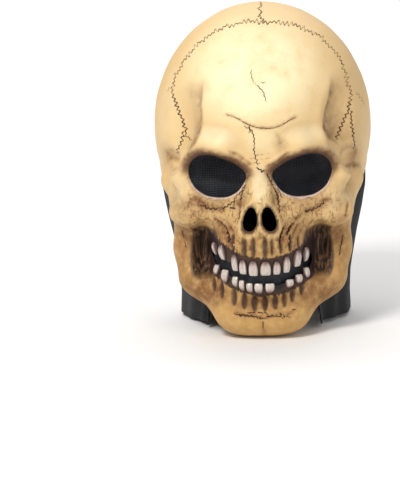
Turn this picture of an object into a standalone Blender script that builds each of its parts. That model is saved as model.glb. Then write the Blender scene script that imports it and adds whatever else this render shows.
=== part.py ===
"""Full-head skull mask of cast latex, with mesh panels, set teeth and a stretch hood.

Metres, +Z up, the face looks along -Y. The latex shell is a primitive grid laid over one
smooth head form, which is a short list of blobs and bars melted together. The shell's wall,
its openings, the mesh behind them, the teeth and the hood all take their places from it.
The world origin is the point inside the crown where the wearer's head carries the mask.
"""
import math
from collections import namedtuple

import bmesh
import bpy
import numpy as np
from mathutils import Vector
from mathutils.bvhtree import BVHTree

# Driving dimensions
HALF_WIDTH = 0.098
HALF_DEPTH = 0.114
HEIGHT = 0.289
LATEX_WALL = 0.0025
MESH_WALL = 0.0010
HOOD_WALL = 0.0014
SEAT_GAP = 0.0005
PANEL_GAP = 0.0006
HOOD_GAP = 0.0003

EYE_HALF_WIDTH = 0.0254
EYE_HALF_HEIGHT = 0.0190
EYE_SPREAD = 0.0369
EYE_HEIGHT = 0.1475
EYE_PANEL_MARGIN = 0.0045

NOSTRIL_HALF_WIDTH = 0.0060
NOSTRIL_HALF_HEIGHT = 0.0114
NOSTRIL_SPREAD = 0.0080
NOSTRIL_HEIGHT = 0.1128
NOSTRIL_LEAN = math.radians(8)

MOUTH_HALF_WIDTH = 0.0440
MOUTH_HALF_OPENING = 0.0066
MOUTH_HEIGHT = 0.0588
SMILE_RISE = 0.0148
SMILE_TILT = -0.0028
MOUTH_PANEL_MARGIN = 0.0050

TOOTH_THICKNESS = 0.0042
UPPER_TOOTH = 0.0126
LOWER_TOOTH = 0.0092
BITE_GAP = 0.0070

HOOD_TUCK = 0.0120
HOOD_FRONT = 0.0430
HOOD_TOP = 0.1620
HOOD_HEM = 0.0060

SIZE = np.array((HALF_WIDTH, HALF_DEPTH, HEIGHT))
CROWN = Vector((0.0, 0.07 * HALF_DEPTH, HEIGHT - LATEX_WALL))

# The head form. Places and radii are percent of (half width, half depth, height), for x, y
# and z; a bar's radii and every blend are percent of the half width. x stands for both sides.
Blob = namedtuple("Blob", "name centre radii lean blend")
Bar = namedtuple("Bar", "name start end start_radius end_radius blend")

RAISED = [
    Blob("neck_core", (0, -7, 29.4), (61.2, 52.6, 45), 0, 1),
    Blob("cranium", (0, 7, 61.9), (100, 100, 38.1), 0, 24.5),
    Blob("forehead", (0, -29.8, 65.7), (62.2, 66.7, 20.8), 0, 12.2),
    Blob("face", (0, -43.9, 40.8), (77.6, 43.9, 15.9), 0, 16.3),
    Bar("brow_in", (9.2, -86.8, 55.4), (32.7, -86.8, 60.2), 9.2, 10.2, 10.2),
    Bar("brow_out", (32.7, -86.8, 60.2), (61.2, -70.2, 61.2), 10.2, 9.2, 10.2),
    Bar("orbit_side", (62.2, -70.2, 60.2), (71.4, -61.4, 51.2), 9.2, 8.2, 8.2),
    Bar("orbit_low_side", (71.4, -61.4, 50.5), (59.2, -70.2, 43.3), 8.2, 10.2, 10.2),
    Bar("orbit_low", (59.2, -70.2, 42.6), (28.6, -80.7, 40.8), 9.2, 9.2, 12.2),
    Bar("orbit_in", (28.6, -80.7, 41.2), (14.3, -86, 47.8), 9.2, 6.1, 9.2),
    Blob("cheekbone", (58.2, -64.9, 38.8), (24.5, 18.4, 4.8), 0, 10.2),
    Bar("arch", (68.4, -56.1, 40.8), (80, -29.8, 46.4), 11.2, 9.2, 10.2),
    Bar("arch_back", (80, -29.8, 46.4), (85, 5.3, 48.4), 9.2, 7.1, 10.2),
    Bar("bridge", (0, -86, 54.7), (0, -97.4, 44.3), 9.2, 11.2, 9.2),
    Blob("nose_base", (0, -80.7, 38.8), (27.6, 21.9, 6.2), 0, 10.2),
    Blob("maxilla", (0, -57.9, 30.4), (44.9, 43.9, 11.1), 0, 12.2),
    Blob("muzzle", (0, -52.6, 20.8), (46.9, 46.5, 11.8), 0, 12.2),
    Blob("chin", (0, -73.7, 7.3), (37.5, 21.1, 6.2), 0, 10.2),
    Bar("jaw_front", (23, -73.7, 9.7), (56.5, -54.4, 18.4), 18, 16, 16.3),
    Bar("jaw_corner", (56.5, -54.4, 18.4), (64.8, -43.9, 26.3), 16, 13.3, 16.3),
    Bar("ramus", (64.6, -45.6, 26.3), (67.5, -42.1, 38.8), 13.3, 11.2, 14.3),
    Bar("ramus_back", (64.3, -26.3, 26.3), (72, -17.5, 41.5), 12.2, 12.2, 16.3),
]
SUNK = [
    Blob("orbit", (37.8, -108.8, 50.2), (28.6, 35.1, 7.6), -14, 6.1),
    Blob("orbit_outer", (46.9, -98.2, 51.2), (22.4, 31.6, 6.9), 0, 7.1),
    Blob("temple", (98, -76, 68.5), (39.5, 32, 18.5), 0, 6),
    Blob("temple_pit", (84.7, -57.9, 54), (12.2, 18.4, 3.1), 0, 7),
    Blob("cheek_hollow", (52.8, -84, 27.6), (11.6, 29.5, 9.6), 0, 4.5),
    Blob("arch_slit", (89.8, -50.9, 38.8), (5.1, 10.5, 4.8), -20, 3.1),
]

# The rays that carry the skin: a low turn under the chin, level ones up the face, then the
# fan over the dome. Rows are (share of the grid's height, z percent, y percent, tilt degrees).
RAY_ROWS = [
    (0.00, 9, -30, -62),
    (0.10, 11, -28, 0),
    (0.52, 52, -8, 0),
    (1.00, 52, 4, 90),
]
GRID_ROUND = 64
GRID_UP = 84
DECIMATE_RATIO = 0.155

# Side view of the shell's rim, from the chin back to the nape: percent of (half depth, height).
RIM_LINE = [
    (-66, -3), (-60, 5), (-50, 13), (-39, 20), (-28, 25.5), (-19, 31), (-14, 38),
    (-9, 43.5), (4, 46), (14, 49.3), (36, 49.5), (72, 47), (118, 43),
]

# Eye outline, percent of (half width, half height): +x is the nose side.
EYE_OUTLINE = [
    (100, 20), (72, 53), (28, 82), (-25, 100), (-72, 86), (-100, 30),
    (-94, -30), (-60, -80), (-5, -100), (50, -86), (86, -42),
]

# Hood sections from hem to top: percent of height, of half width and of half depth.
HoodRow = namedtuple("HoodRow", "z front side back")
HOOD_ROWS = [
    HoodRow(2, 54, 81, 54),
    HoodRow(8, 52, 80, 56),
    HoodRow(14, 50, 81, 60),
    HoodRow(20, 57, 83, 65),
    HoodRow(28, 69, 87, 72),
    HoodRow(35, 73, 91.5, 79),
    HoodRow(42, 79, 95, 80),
    HoodRow(49, 86, 96, 86),
    HoodRow(57, 108, 110, 118),
]
HOOD_CENTRE_Y = 9
HOOD_ROUND = 16
HOOD_UP = 13
TUCKED_SHARE = 0.12
SIDE_SHARE = 0.4

# Teeth: place across is percent of the mouth's half width, width percent of the thickness,
# length percent of the row's tooth, and lift of the cutting edge percent of the bite gap.
Tooth = namedtuple("Tooth", "name across width length lift")
UPPER_TEETH = [
    Tooth("upper_tooth_1", -90, 180, 90, 0),
    Tooth("upper_tooth_2", -75, 190, 106, 25),
    Tooth("upper_tooth_3", -49, 162, 118, -15),
    Tooth("upper_tooth_4", -33.5, 174, 102, -15),
    Tooth("upper_tooth_5", -13.8, 208, 106, -4),
    Tooth("upper_tooth_6", 9.5, 240, 98, 12),
    Tooth("upper_tooth_7", 30.5, 172, 92, 8),
    Tooth("upper_tooth_8", 49, 170, 114, -4),
    Tooth("upper_tooth_9", 70, 205, 116, 4),
    Tooth("upper_tooth_10", 86, 190, 100, -4),
]
LOWER_TEETH = [
    Tooth("lower_tooth_1", -87, 185, 90, -12),
    Tooth("lower_tooth_2", -69.5, 215, 122, 18),
    Tooth("lower_tooth_3", -49, 150, 106, 10),
    Tooth("lower_tooth_4", -36.2, 130, 108, -3),
    Tooth("lower_tooth_5", -21.5, 150, 100, -10),
    Tooth("lower_tooth_6", -4.5, 190, 106, 3),
    Tooth("lower_tooth_7", 16.5, 212, 100, 4),
    Tooth("lower_tooth_8", 54, 190, 80, -10),
    Tooth("lower_tooth_9", 72, 196, 84, -8),
    Tooth("lower_tooth_10", 87, 175, 96, 14),
]
# One tooth from its cutting edge to its root: percent of length, width and thickness.
ToothRing = namedtuple("ToothRing", "along width front")
TOOTH_RINGS = [
    ToothRing(0, 80, 42), ToothRing(14, 98, 72), ToothRing(45, 100, 100),
    ToothRing(75, 84, 96), ToothRing(100, 46, 55),
]
TOOTH_SIDES = 8


def placed(shares):
    """Percent of (half width, half depth, height) as metres."""
    return np.array(shares, float) / 100 * SIZE


def wide(share):
    """Percent of the half width as metres."""
    return share / 100 * HALF_WIDTH


def melt(a, b, blend):
    """Smooth minimum of two distances."""
    h = np.maximum(blend - np.abs(a - b), 0) / blend
    return np.minimum(a, b) - h * h * blend / 4


def blob_distance(points, blob):
    q = points - placed(blob.centre)
    lean = math.radians(blob.lean)
    c, s = math.cos(lean), math.sin(lean)
    q = np.stack([c * q[:, 0] + s * q[:, 2], q[:, 1], c * q[:, 2] - s * q[:, 0]], 1)
    radii = placed(blob.radii)
    inner = np.linalg.norm(q / radii, axis=1)
    slope = np.linalg.norm(q / radii**2, axis=1)
    return inner * (inner - 1) / np.maximum(slope, 1e-9)


def bar_distance(points, bar):
    start, end = placed(bar.start), placed(bar.end)
    along = end - start
    t = np.clip(((points - start) @ along) / (along @ along), 0, 1)
    radius = wide(bar.start_radius) + wide(bar.end_radius - bar.start_radius) * t
    return np.linalg.norm(points - start - t[:, None] * along, axis=1) - radius


def distance(points, form):
    return (blob_distance if isinstance(form, Blob) else bar_distance)(points, form)


def head_form(points):
    """Signed distance to the mask's outer skin, below zero inside."""
    points = np.array(points, float)
    points[:, 0] = np.abs(points[:, 0])
    found = distance(points, RAISED[0])
    for form in RAISED[1:]:
        found = melt(found, distance(points, form), wide(form.blend))
    for form in SUNK:
        found = -melt(-found, distance(points, form), wide(form.blend))
    return found


def skin_hits(starts, directions, reach):
    """The outermost point on each ray, within reach, where it meets the outer skin."""
    steps = 60
    high = np.full(len(starts), reach)
    found = np.zeros(len(starts), bool)
    for _ in range(steps):
        live = ~found
        trial = high[live] - reach / steps
        inside = head_form(starts[live] + directions[live] * trial[:, None]) < 0
        index = np.flatnonzero(live)
        found[index[inside]] = True
        high[index[~inside]] = trial[~inside]
    low = high - reach / steps
    for _ in range(16):
        middle = (low + high) / 2
        inside = head_form(starts + directions * middle[:, None]) < 0
        low = np.where(inside, middle, low)
        high = np.where(inside, high, middle)
    return starts + directions * ((low + high) / 2)[:, None]


def skin_normals(points):
    """Outward unit normals of the head form."""
    step = LATEX_WALL / 5
    slopes = [
        head_form(points + axis) - head_form(points - axis) for axis in np.eye(3) * step
    ]
    normals = np.stack(slopes, 1)
    return normals / np.linalg.norm(normals, axis=1, keepdims=True)


def face_points(x, z):
    """Points of the face's outer skin seen from the front at (x, z)."""
    reach = 2.4 * HALF_DEPTH
    starts = np.stack([x, np.full_like(x, reach - 1.2 * HALF_DEPTH), z], 1)
    directions = np.tile((0.0, -1.0, 0.0), (len(x), 1))
    return skin_hits(starts, directions, reach)


def smile(x, height):
    """z of the mouth's curve at x: it rises to both ends, and a little more to one."""
    share = x / MOUTH_HALF_WIDTH
    return height + SMILE_RISE * share**2 + SMILE_TILT * share


def clear_scene():
    for old in list(bpy.data.objects):
        bpy.data.objects.remove(old)


def new_collection(name):
    made = bpy.data.collections.new(name)
    bpy.context.scene.collection.children.link(made)
    return made


def new_object(name, mesh, collection, material=None):
    """An object of a mesh drawn from the chin up, set so that the crown is the origin."""
    made = bpy.data.objects.new(name, mesh)
    made.location = -CROWN
    collection.objects.link(made)
    if material:
        mesh.materials.append(material)
    return made


def new_material(name, colour, roughness):
    made = bpy.data.materials.new(name)
    made.use_nodes = True
    shader = made.node_tree.nodes["Principled BSDF"]
    shader.inputs["Base Color"].default_value = (*colour, 1)
    shader.inputs["Roughness"].default_value = roughness
    shader.inputs["Metallic"].default_value = 0
    return made


def grid_mesh(name, across, up, place):
    """A grid primitive whose corners go where place(u, v) says, u and v from 0 to 1."""
    mesh = bpy.data.meshes.new(name)
    builder = bmesh.new()
    bmesh.ops.create_grid(builder, x_segments=across, y_segments=up, size=0.5)
    flat = np.array([corner.co for corner in builder.verts])
    for corner, point in zip(builder.verts, place(flat[:, 0] + 0.5, flat[:, 1] + 0.5)):
        corner.co = point
    bmesh.ops.remove_doubles(builder, verts=builder.verts, dist=LATEX_WALL / 100)
    bmesh.ops.recalc_face_normals(builder, faces=builder.faces)
    builder.to_mesh(mesh)
    builder.free()
    return mesh


def head_skin(u, v):
    """Half of the outer skin: u runs from the face round to the nape, v from chin to crown."""
    rows = np.array(RAY_ROWS, float)
    z, y, tilt = (np.interp(v, rows[:, 0], rows[:, i]) for i in (1, 2, 3))
    turn, tilt = np.pi * u, np.radians(tilt)
    starts = np.stack([0 * u, y / 100 * HALF_DEPTH, z / 100 * HEIGHT], 1)
    ahead = -np.cos(turn) * np.cos(tilt)
    directions = np.stack([np.sin(turn) * np.cos(tilt), ahead, np.sin(tilt)], 1)
    points = skin_hits(starts, directions, 1.8 * HALF_DEPTH)
    points[(u < 1e-6) | (u > 1 - 1e-6), 0] = 0
    return points


def face_out(mesh, centre):
    """Turns every face of an open surface to look away from a centre."""
    builder = bmesh.new()
    builder.from_mesh(mesh)
    outward = sum(
        face.normal.dot(face.calc_center_median() - centre) for face in builder.faces
    )
    if outward < 0:
        bmesh.ops.reverse_faces(builder, faces=builder.faces)
    builder.to_mesh(mesh)
    builder.free()


def add_mirror(obj):
    mirror = obj.modifiers.new("both sides", "MIRROR")
    mirror.merge_threshold = LATEX_WALL / 100


def add_wall(obj, thickness):
    wall = obj.modifiers.new("wall", "SOLIDIFY")
    wall.thickness = thickness
    wall.offset = -1
    wall.use_even_offset = True
    wall.thickness_clamp = 1.0


def outline_cutter(name, outline, half_thickness, collection):
    """A prism with a closed outline in x and z, running through the face along y."""
    curve = bpy.data.curves.new(name, "CURVE")
    curve.dimensions = "2D"
    curve.fill_mode = "BOTH"
    curve.extrude = half_thickness
    curve.resolution_u = 4
    spline = curve.splines.new("BEZIER")
    spline.bezier_points.add(len(outline) - 1)
    for point, (x, z) in zip(spline.bezier_points, outline):
        point.co = (x, z, 0)
        point.handle_left_type = point.handle_right_type = "AUTO"
    spline.use_cyclic_u = True
    return curve_to_cutter(name, curve, (math.pi / 2, 0, 0), collection)


def curve_to_cutter(name, curve, turn, collection):
    guide = bpy.data.objects.new(name + "_guide", curve)
    guide.rotation_euler = turn
    collection.objects.link(guide)
    bpy.context.view_layer.update()
    graph = bpy.context.evaluated_depsgraph_get()
    mesh = bpy.data.meshes.new_from_object(guide.evaluated_get(graph))
    mesh.transform(guide.matrix_world)
    bpy.data.objects.remove(guide)
    builder = bmesh.new()
    builder.from_mesh(mesh)
    bmesh.ops.remove_doubles(builder, verts=builder.verts, dist=LATEX_WALL / 100)
    bmesh.ops.recalc_face_normals(builder, faces=builder.faces)
    builder.to_mesh(mesh)
    builder.free()
    cutter = new_object(name, mesh, collection)
    cutter.hide_render = True
    cutter.display_type = "WIRE"
    return cutter


def eye_cutter(side, collection):
    outline = [
        (side * (EYE_SPREAD - x / 100 * EYE_HALF_WIDTH), EYE_HEIGHT + z / 100 * EYE_HALF_HEIGHT)
        for x, z in EYE_OUTLINE
    ]
    cutter = outline_cutter(f"eye_cutter_{side}", outline, HALF_DEPTH / 2, collection)
    cutter.location.y -= HALF_DEPTH
    return cutter


def nostril_cutter(side, collection):
    """A pear, narrow at the top, leaning out at its foot."""
    outline = []
    for turn in np.linspace(0, 2 * math.pi, 10, endpoint=False):
        x = NOSTRIL_HALF_WIDTH * math.cos(turn) * (1 - 0.22 * math.sin(turn))
        z = NOSTRIL_HALF_HEIGHT * math.sin(turn)
        x -= z * math.tan(NOSTRIL_LEAN)
        outline.append((side * (NOSTRIL_SPREAD + x), NOSTRIL_HEIGHT + z))
    cutter = outline_cutter(f"nostril_cutter_{side}", outline, HALF_DEPTH / 5, collection)
    cutter.location.y -= HALF_DEPTH
    return cutter


def mouth_cutter(collection):
    """A curved slot behind the two rows of teeth."""
    shares = np.linspace(-0.94, 0.94, 7)
    half = MOUTH_HALF_OPENING * np.sqrt(1 - 0.35 * shares**2)
    x = shares * MOUTH_HALF_WIDTH
    middle = smile(x, MOUTH_HEIGHT)
    upper = list(zip(x, middle + half))
    lower = list(zip(x, middle - half))
    left, right = MOUTH_HALF_WIDTH, -MOUTH_HALF_WIDTH
    outline = upper + [(left, smile(left, MOUTH_HEIGHT))]
    outline += lower[::-1] + [(right, smile(right, MOUTH_HEIGHT))]
    cutter = outline_cutter("mouth_cutter", outline, HALF_DEPTH / 2, collection)
    cutter.location.y -= HALF_DEPTH
    return cutter


def rim_cutter(collection):
    """Everything below and behind the line where the latex ends."""
    curve = bpy.data.curves.new("rim_cutter", "CURVE")
    curve.dimensions = "2D"
    curve.fill_mode = "BOTH"
    curve.extrude = 2 * HALF_WIDTH
    curve.resolution_u = 4
    below = [(118, -80), (-66, -80)]
    spline = curve.splines.new("BEZIER")
    spline.bezier_points.add(len(RIM_LINE) + len(below) - 1)
    for i, (point, (y, z)) in enumerate(zip(spline.bezier_points, RIM_LINE + below)):
        point.co = (y / 100 * HALF_DEPTH, z / 100 * HEIGHT, 0)
        smooth = 0 < i < len(RIM_LINE) - 1
        point.handle_left_type = point.handle_right_type = "AUTO" if smooth else "VECTOR"
    spline.use_cyclic_u = True
    return curve_to_cutter("rim_cutter", curve, (math.pi / 2, 0, math.pi / 2), collection)


def skull_shell(collection, material):
    """The cast latex skin before its openings are cut."""
    mesh = grid_mesh("skull_shell", GRID_ROUND, GRID_UP, head_skin)
    face_out(mesh, Vector(CROWN) / 2)
    shell = new_object("skull_shell", mesh, collection, material)
    add_mirror(shell)
    thin_out = shell.modifiers.new("fewer faces", "DECIMATE")
    thin_out.ratio = DECIMATE_RATIO
    thin_out.use_symmetry = True
    thin_out.symmetry_axis = "X"
    add_wall(shell, LATEX_WALL)
    return shell


def cut(shell, cutters):
    for cutter in cutters:
        boolean = shell.modifiers.new("cut " + cutter.name, "BOOLEAN")
        boolean.operation = "DIFFERENCE"
        boolean.object = cutter


def panel(name, place, across, up, collection, material):
    """A sheet of mesh behind an opening, following the inside of the latex."""
    mesh = grid_mesh(name, across, up, place)
    face_out(mesh, Vector((0, 0, EYE_HEIGHT / 2)))
    sheet = new_object(name, mesh, collection, material)
    add_wall(sheet, MESH_WALL)
    return sheet


def inside_points(tree, x, z):
    """Points a gap behind the inside of the latex, seen from behind at (x, z)."""
    step = LATEX_WALL / 2
    around = [(0, 0), (step, 0), (-step, 0), (0, step), (0, -step)]
    hits = []
    for across, height in zip(x, z):
        starts = [Vector((across + i, -HALF_DEPTH / 4, height + j)) for i, j in around]
        deepest = max(tree.ray_cast(start, (0, -1, 0))[0].y for start in starts)
        hits.append((across, deepest, height))
    hits = np.array(hits)
    return hits - skin_normals(hits) * PANEL_GAP


def eye_panel(name, side, tree, collection, material):
    half_width = EYE_HALF_WIDTH + EYE_PANEL_MARGIN
    half_height = EYE_HALF_HEIGHT + EYE_PANEL_MARGIN

    def place(u, v):
        s, t = 2 * u - 1, 2 * v - 1
        x = side * EYE_SPREAD + half_width * s * np.sqrt(1 - t * t / 2)
        z = EYE_HEIGHT + half_height * t * np.sqrt(1 - s * s / 2)
        return inside_points(tree, x, z)

    return panel(name, place, 12, 9, collection, material)


def mouth_panel(tree, collection, material):
    half_height = MOUTH_HALF_OPENING + MOUTH_PANEL_MARGIN

    def place(u, v):
        s, t = 2 * u - 1, 2 * v - 1
        x = (MOUTH_HALF_WIDTH + MOUTH_PANEL_MARGIN / 2) * s
        return inside_points(tree, x, smile(x, MOUTH_HEIGHT) + half_height * t)

    return panel("mouth_mesh", place, 20, 4, collection, material)


def shell_tree(shell):
    """The shell's own faces, for seating the teeth on."""
    bpy.context.view_layer.update()
    return BVHTree.FromObject(shell, bpy.context.evaluated_depsgraph_get())


def tooth(row, tree, edge_height, length, root_up, collection, material):
    """One tooth, flat at the back, where it lies on the gum, and crowned in front."""
    x = row.across / 100 * MOUTH_HALF_WIDTH
    width = row.width / 100 * TOOTH_THICKNESS
    length *= row.length / 100
    edge = smile(x, edge_height) + row.lift / 100 * BITE_GAP
    middle = np.array([edge + root_up * length / 2])
    centre = face_points(np.array([x]), middle)[0]
    normal = skin_normals(centre[None])[0]
    out = Vector((normal[0], normal[1], 0)).normalized()
    across = Vector((-out.y, out.x, 0))
    base = Vector((centre[0], centre[1], 0))
    builder = bmesh.new()
    rings = []
    for ring in TOOTH_RINGS:
        half = ring.width / 100 * width / 2
        level = base + Vector((0, 0, edge + root_up * ring.along / 100 * length))
        seat = seat_of(tree, level, across * half, out)
        front = ring.front / 100 * TOOTH_THICKNESS
        rings.append([
            builder.verts.new(level + across * (half * s) + out * (seat + front * t))
            for s, t in tooth_section()
        ])
    for low, high in zip(rings, rings[1:]):
        for i in range(TOOTH_SIDES):
            j = (i + 1) % TOOTH_SIDES
            builder.faces.new((low[i], low[j], high[j], high[i]))
    builder.faces.new(rings[0])
    builder.faces.new(rings[-1])
    bmesh.ops.recalc_face_normals(builder, faces=builder.faces)
    mesh = bpy.data.meshes.new(row.name)
    builder.to_mesh(mesh)
    builder.free()
    return new_object(row.name, mesh, collection, material)


def tooth_section():
    """(across, outward) shares of one ring: an arched front on a flat back."""
    turns = np.linspace(0, math.pi, TOOTH_SIDES - 1)
    front = [(math.cos(turn), 0.25 + 0.75 * math.sin(turn) ** 0.6) for turn in turns]
    return front + [(0.0, 0.0)]


def seat_of(tree, level, reach_across, out):
    """How far out from the level point the tooth's back has to start to clear the gum."""
    far = HALF_WIDTH / 3
    seats = []
    for share in (-1, -0.5, 0, 0.5, 1):
        start = level + reach_across * share + out * far
        hit = tree.ray_cast(start, -out)[0]
        if hit:
            seats.append((hit - level).dot(out))
    return max(seats) + SEAT_GAP


def teeth(tree, collection, material):
    upper_edge = MOUTH_HEIGHT + BITE_GAP / 2
    lower_edge = MOUTH_HEIGHT - BITE_GAP / 2
    for row in UPPER_TEETH:
        tooth(row, tree, upper_edge, UPPER_TOOTH, 1, collection, material)
    for row in LOWER_TEETH:
        tooth(row, tree, lower_edge, LOWER_TOOTH, -1, collection, material)


def rim_y(z):
    """How far back the latex reaches at a height below the cheek arch."""
    line = np.array([row for row in RIM_LINE if row[0] < 0]) / 100
    return np.interp(z, line[:, 1] * HEIGHT, line[:, 0] * HALF_DEPTH)


def hood_skin(tree, u, v):
    """Half of the hood: u runs from its tucked front edge to the nape, v from hem to top."""
    rows = np.array(HOOD_ROWS, float)
    z = HOOD_HEM + (HOOD_TOP - HOOD_HEM) * v
    share = z / HEIGHT * 100
    front, side = (np.interp(share, rows[:, 0], rows[:, i] / 100 * HALF_WIDTH) for i in (1, 2))
    back = np.interp(share, rows[:, 0], rows[:, 3] / 100 * HALF_DEPTH)
    middle = HOOD_CENTRE_Y / 100 * HALF_DEPTH
    edge = np.maximum(rim_y(z), -HOOD_FRONT)
    tuck = 1 - np.clip(u / TUCKED_SHARE, 0, 1)
    flank = np.clip((u - TUCKED_SHARE) / (SIDE_SHARE - TUCKED_SHARE), 0, 1)
    turn = np.clip((u - SIDE_SHARE) / (1 - SIDE_SHARE), 0, 1) * math.pi / 2
    x = (front + (side - front) * np.sin(flank * math.pi / 2)) * np.cos(turn)
    y = edge + (middle - edge) * flank - HOOD_TUCK * tuck + back * np.sin(turn)
    points = np.stack([x, y, z], 1)
    points[:, :2] *= room_share(tree, points)[:, None]
    points[u > 1 - 1e-6, 0] = 0
    return points


def room_share(tree, points):
    """The share of each point's distance from the head's axis that stays inside the latex."""
    up_step = (HOOD_TOP - HOOD_HEM) / HOOD_UP
    side_step = HALF_WIDTH / HOOD_ROUND
    probes = [(i * side_step, j * up_step / 5) for i in (-1, 0, 1) for j in range(-5, 6)]
    shares = []
    for x, y, z in points:
        reach = math.hypot(x, y)
        across = Vector((-y, x, 0)) / reach
        room = reach
        for sideways, up in probes:
            start = Vector((0, 0, z + up)) + across * sideways
            distance_out = tree.ray_cast(start, Vector((x, y, 0)) / reach)[3]
            if distance_out:
                room = min(room, distance_out - HOOD_GAP)
        shares.append(room / reach)
    return np.array(shares)


def hood(tree, collection, material):
    """Black stretch cloth from inside the cranium's rim down to the neck."""
    mesh = grid_mesh("hood", HOOD_ROUND, HOOD_UP, lambda u, v: hood_skin(tree, u, v))
    face_out(mesh, Vector((0, 0, EYE_HEIGHT)))
    sheet = new_object("hood", mesh, collection, material)
    add_mirror(sheet)
    add_wall(sheet, HOOD_WALL)
    return sheet


def main():
    clear_scene()
    parts = new_collection("skull_mask")
    cutters = new_collection("cutters")
    latex = new_material("painted_latex", (0.78, 0.62, 0.36), 0.55)
    enamel = new_material("tooth_enamel", (0.75, 0.68, 0.62), 0.3)
    mesh_cloth = new_material("black_mesh", (0.02, 0.02, 0.025), 0.6)
    stretch = new_material("black_stretch", (0.03, 0.03, 0.035), 0.8)
    shell = skull_shell(parts, latex)
    whole = shell_tree(shell)
    teeth(whole, parts, enamel)
    eye_panel("eye_mesh_left", 1, whole, parts, mesh_cloth)
    eye_panel("eye_mesh_right", -1, whole, parts, mesh_cloth)
    mouth_panel(whole, parts, mesh_cloth)
    cut(shell, [
        eye_cutter(-1, cutters), eye_cutter(1, cutters),
        nostril_cutter(-1, cutters), nostril_cutter(1, cutters),
        mouth_cutter(cutters), rim_cutter(cutters),
    ])
    hood(shell_tree(shell), parts, stretch)


main()
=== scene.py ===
"""Looks of the full-head skull mask: sculpted and painted latex, teeth, mesh panels and hood.

Metres. Places are worked out with the chin at height 0 and the face along -Y, and every
finished mesh is then moved so that the inside of the crown is the origin, as in the frame.
"""

import math
from collections import namedtuple
from contextlib import contextmanager

import bmesh
import bpy
import numpy as np
from mathutils import Matrix, Vector, kdtree, noise
from mathutils.bvhtree import BVHTree


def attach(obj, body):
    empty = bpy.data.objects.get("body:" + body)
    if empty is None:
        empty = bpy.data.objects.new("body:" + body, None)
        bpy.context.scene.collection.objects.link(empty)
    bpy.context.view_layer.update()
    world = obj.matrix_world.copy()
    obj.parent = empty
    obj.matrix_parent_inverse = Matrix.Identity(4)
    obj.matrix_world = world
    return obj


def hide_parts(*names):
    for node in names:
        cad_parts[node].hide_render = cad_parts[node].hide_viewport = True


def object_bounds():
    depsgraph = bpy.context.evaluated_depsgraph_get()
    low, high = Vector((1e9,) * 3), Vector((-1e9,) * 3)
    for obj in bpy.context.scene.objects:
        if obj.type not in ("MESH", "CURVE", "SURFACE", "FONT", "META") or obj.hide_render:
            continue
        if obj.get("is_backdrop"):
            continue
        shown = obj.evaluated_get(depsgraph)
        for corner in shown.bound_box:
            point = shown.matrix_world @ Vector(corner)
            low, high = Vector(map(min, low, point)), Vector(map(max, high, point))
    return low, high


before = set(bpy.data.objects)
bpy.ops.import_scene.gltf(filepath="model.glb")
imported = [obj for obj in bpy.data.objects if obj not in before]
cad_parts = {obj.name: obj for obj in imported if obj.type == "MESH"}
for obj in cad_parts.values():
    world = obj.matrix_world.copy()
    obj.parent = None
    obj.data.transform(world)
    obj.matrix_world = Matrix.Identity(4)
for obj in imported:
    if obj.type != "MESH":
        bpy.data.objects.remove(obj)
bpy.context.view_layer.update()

MM = 0.001
HALF_WIDTH = 98 * MM
HALF_DEPTH = 114 * MM
HEIGHT = 289 * MM
LATEX_WALL = 2.5 * MM
PANEL_GAP = 0.6 * MM
HOOD_WALL = 1.2 * MM
HOOD_GAP = 0.4 * MM

EYE_HALF_WIDTH = 25.4 * MM
EYE_HALF_HEIGHT = 19.0 * MM
EYE_SPREAD = 36.9 * MM
EYE_HEIGHT = 147.5 * MM
EYE_PANEL_MARGIN = 4.5 * MM

NOSTRIL_HALF_WIDTH = 6.0 * MM
NOSTRIL_HALF_HEIGHT = 11.4 * MM
NOSTRIL_SPREAD = 8.0 * MM
NOSTRIL_HEIGHT = 112.8 * MM
NOSTRIL_LEAN = math.radians(8)

MOUTH_HALF_WIDTH = 44.0 * MM
MOUTH_HALF_OPENING = 6.6 * MM
MOUTH_HEIGHT = 58.8 * MM
SMILE_RISE = 14.8 * MM
SMILE_TILT = -2.8 * MM
MOUTH_PANEL_MARGIN = 5.0 * MM

TOOTH_THICKNESS = 4.2 * MM
UPPER_TOOTH = 12.6 * MM
LOWER_TOOTH = 9.2 * MM
BITE_GAP = 7.0 * MM

HOOD_TUCK = 12.0 * MM
HOOD_FRONT = 43.0 * MM
HOOD_TOP = 162.0 * MM
HOOD_HEM = 6.0 * MM

SIZE = np.array((HALF_WIDTH, HALF_DEPTH, HEIGHT))
CROWN = Vector((0.0, 0.07 * HALF_DEPTH, HEIGHT - LATEX_WALL))

# The head form. Places and radii are percent of (half width, half depth, height), for x, y
# and z; a bar's radii and every blend are percent of the half width. x stands for both sides.
Blob = namedtuple("Blob", "name centre radii lean blend")
Bar = namedtuple("Bar", "name start end start_radius end_radius blend")

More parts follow.
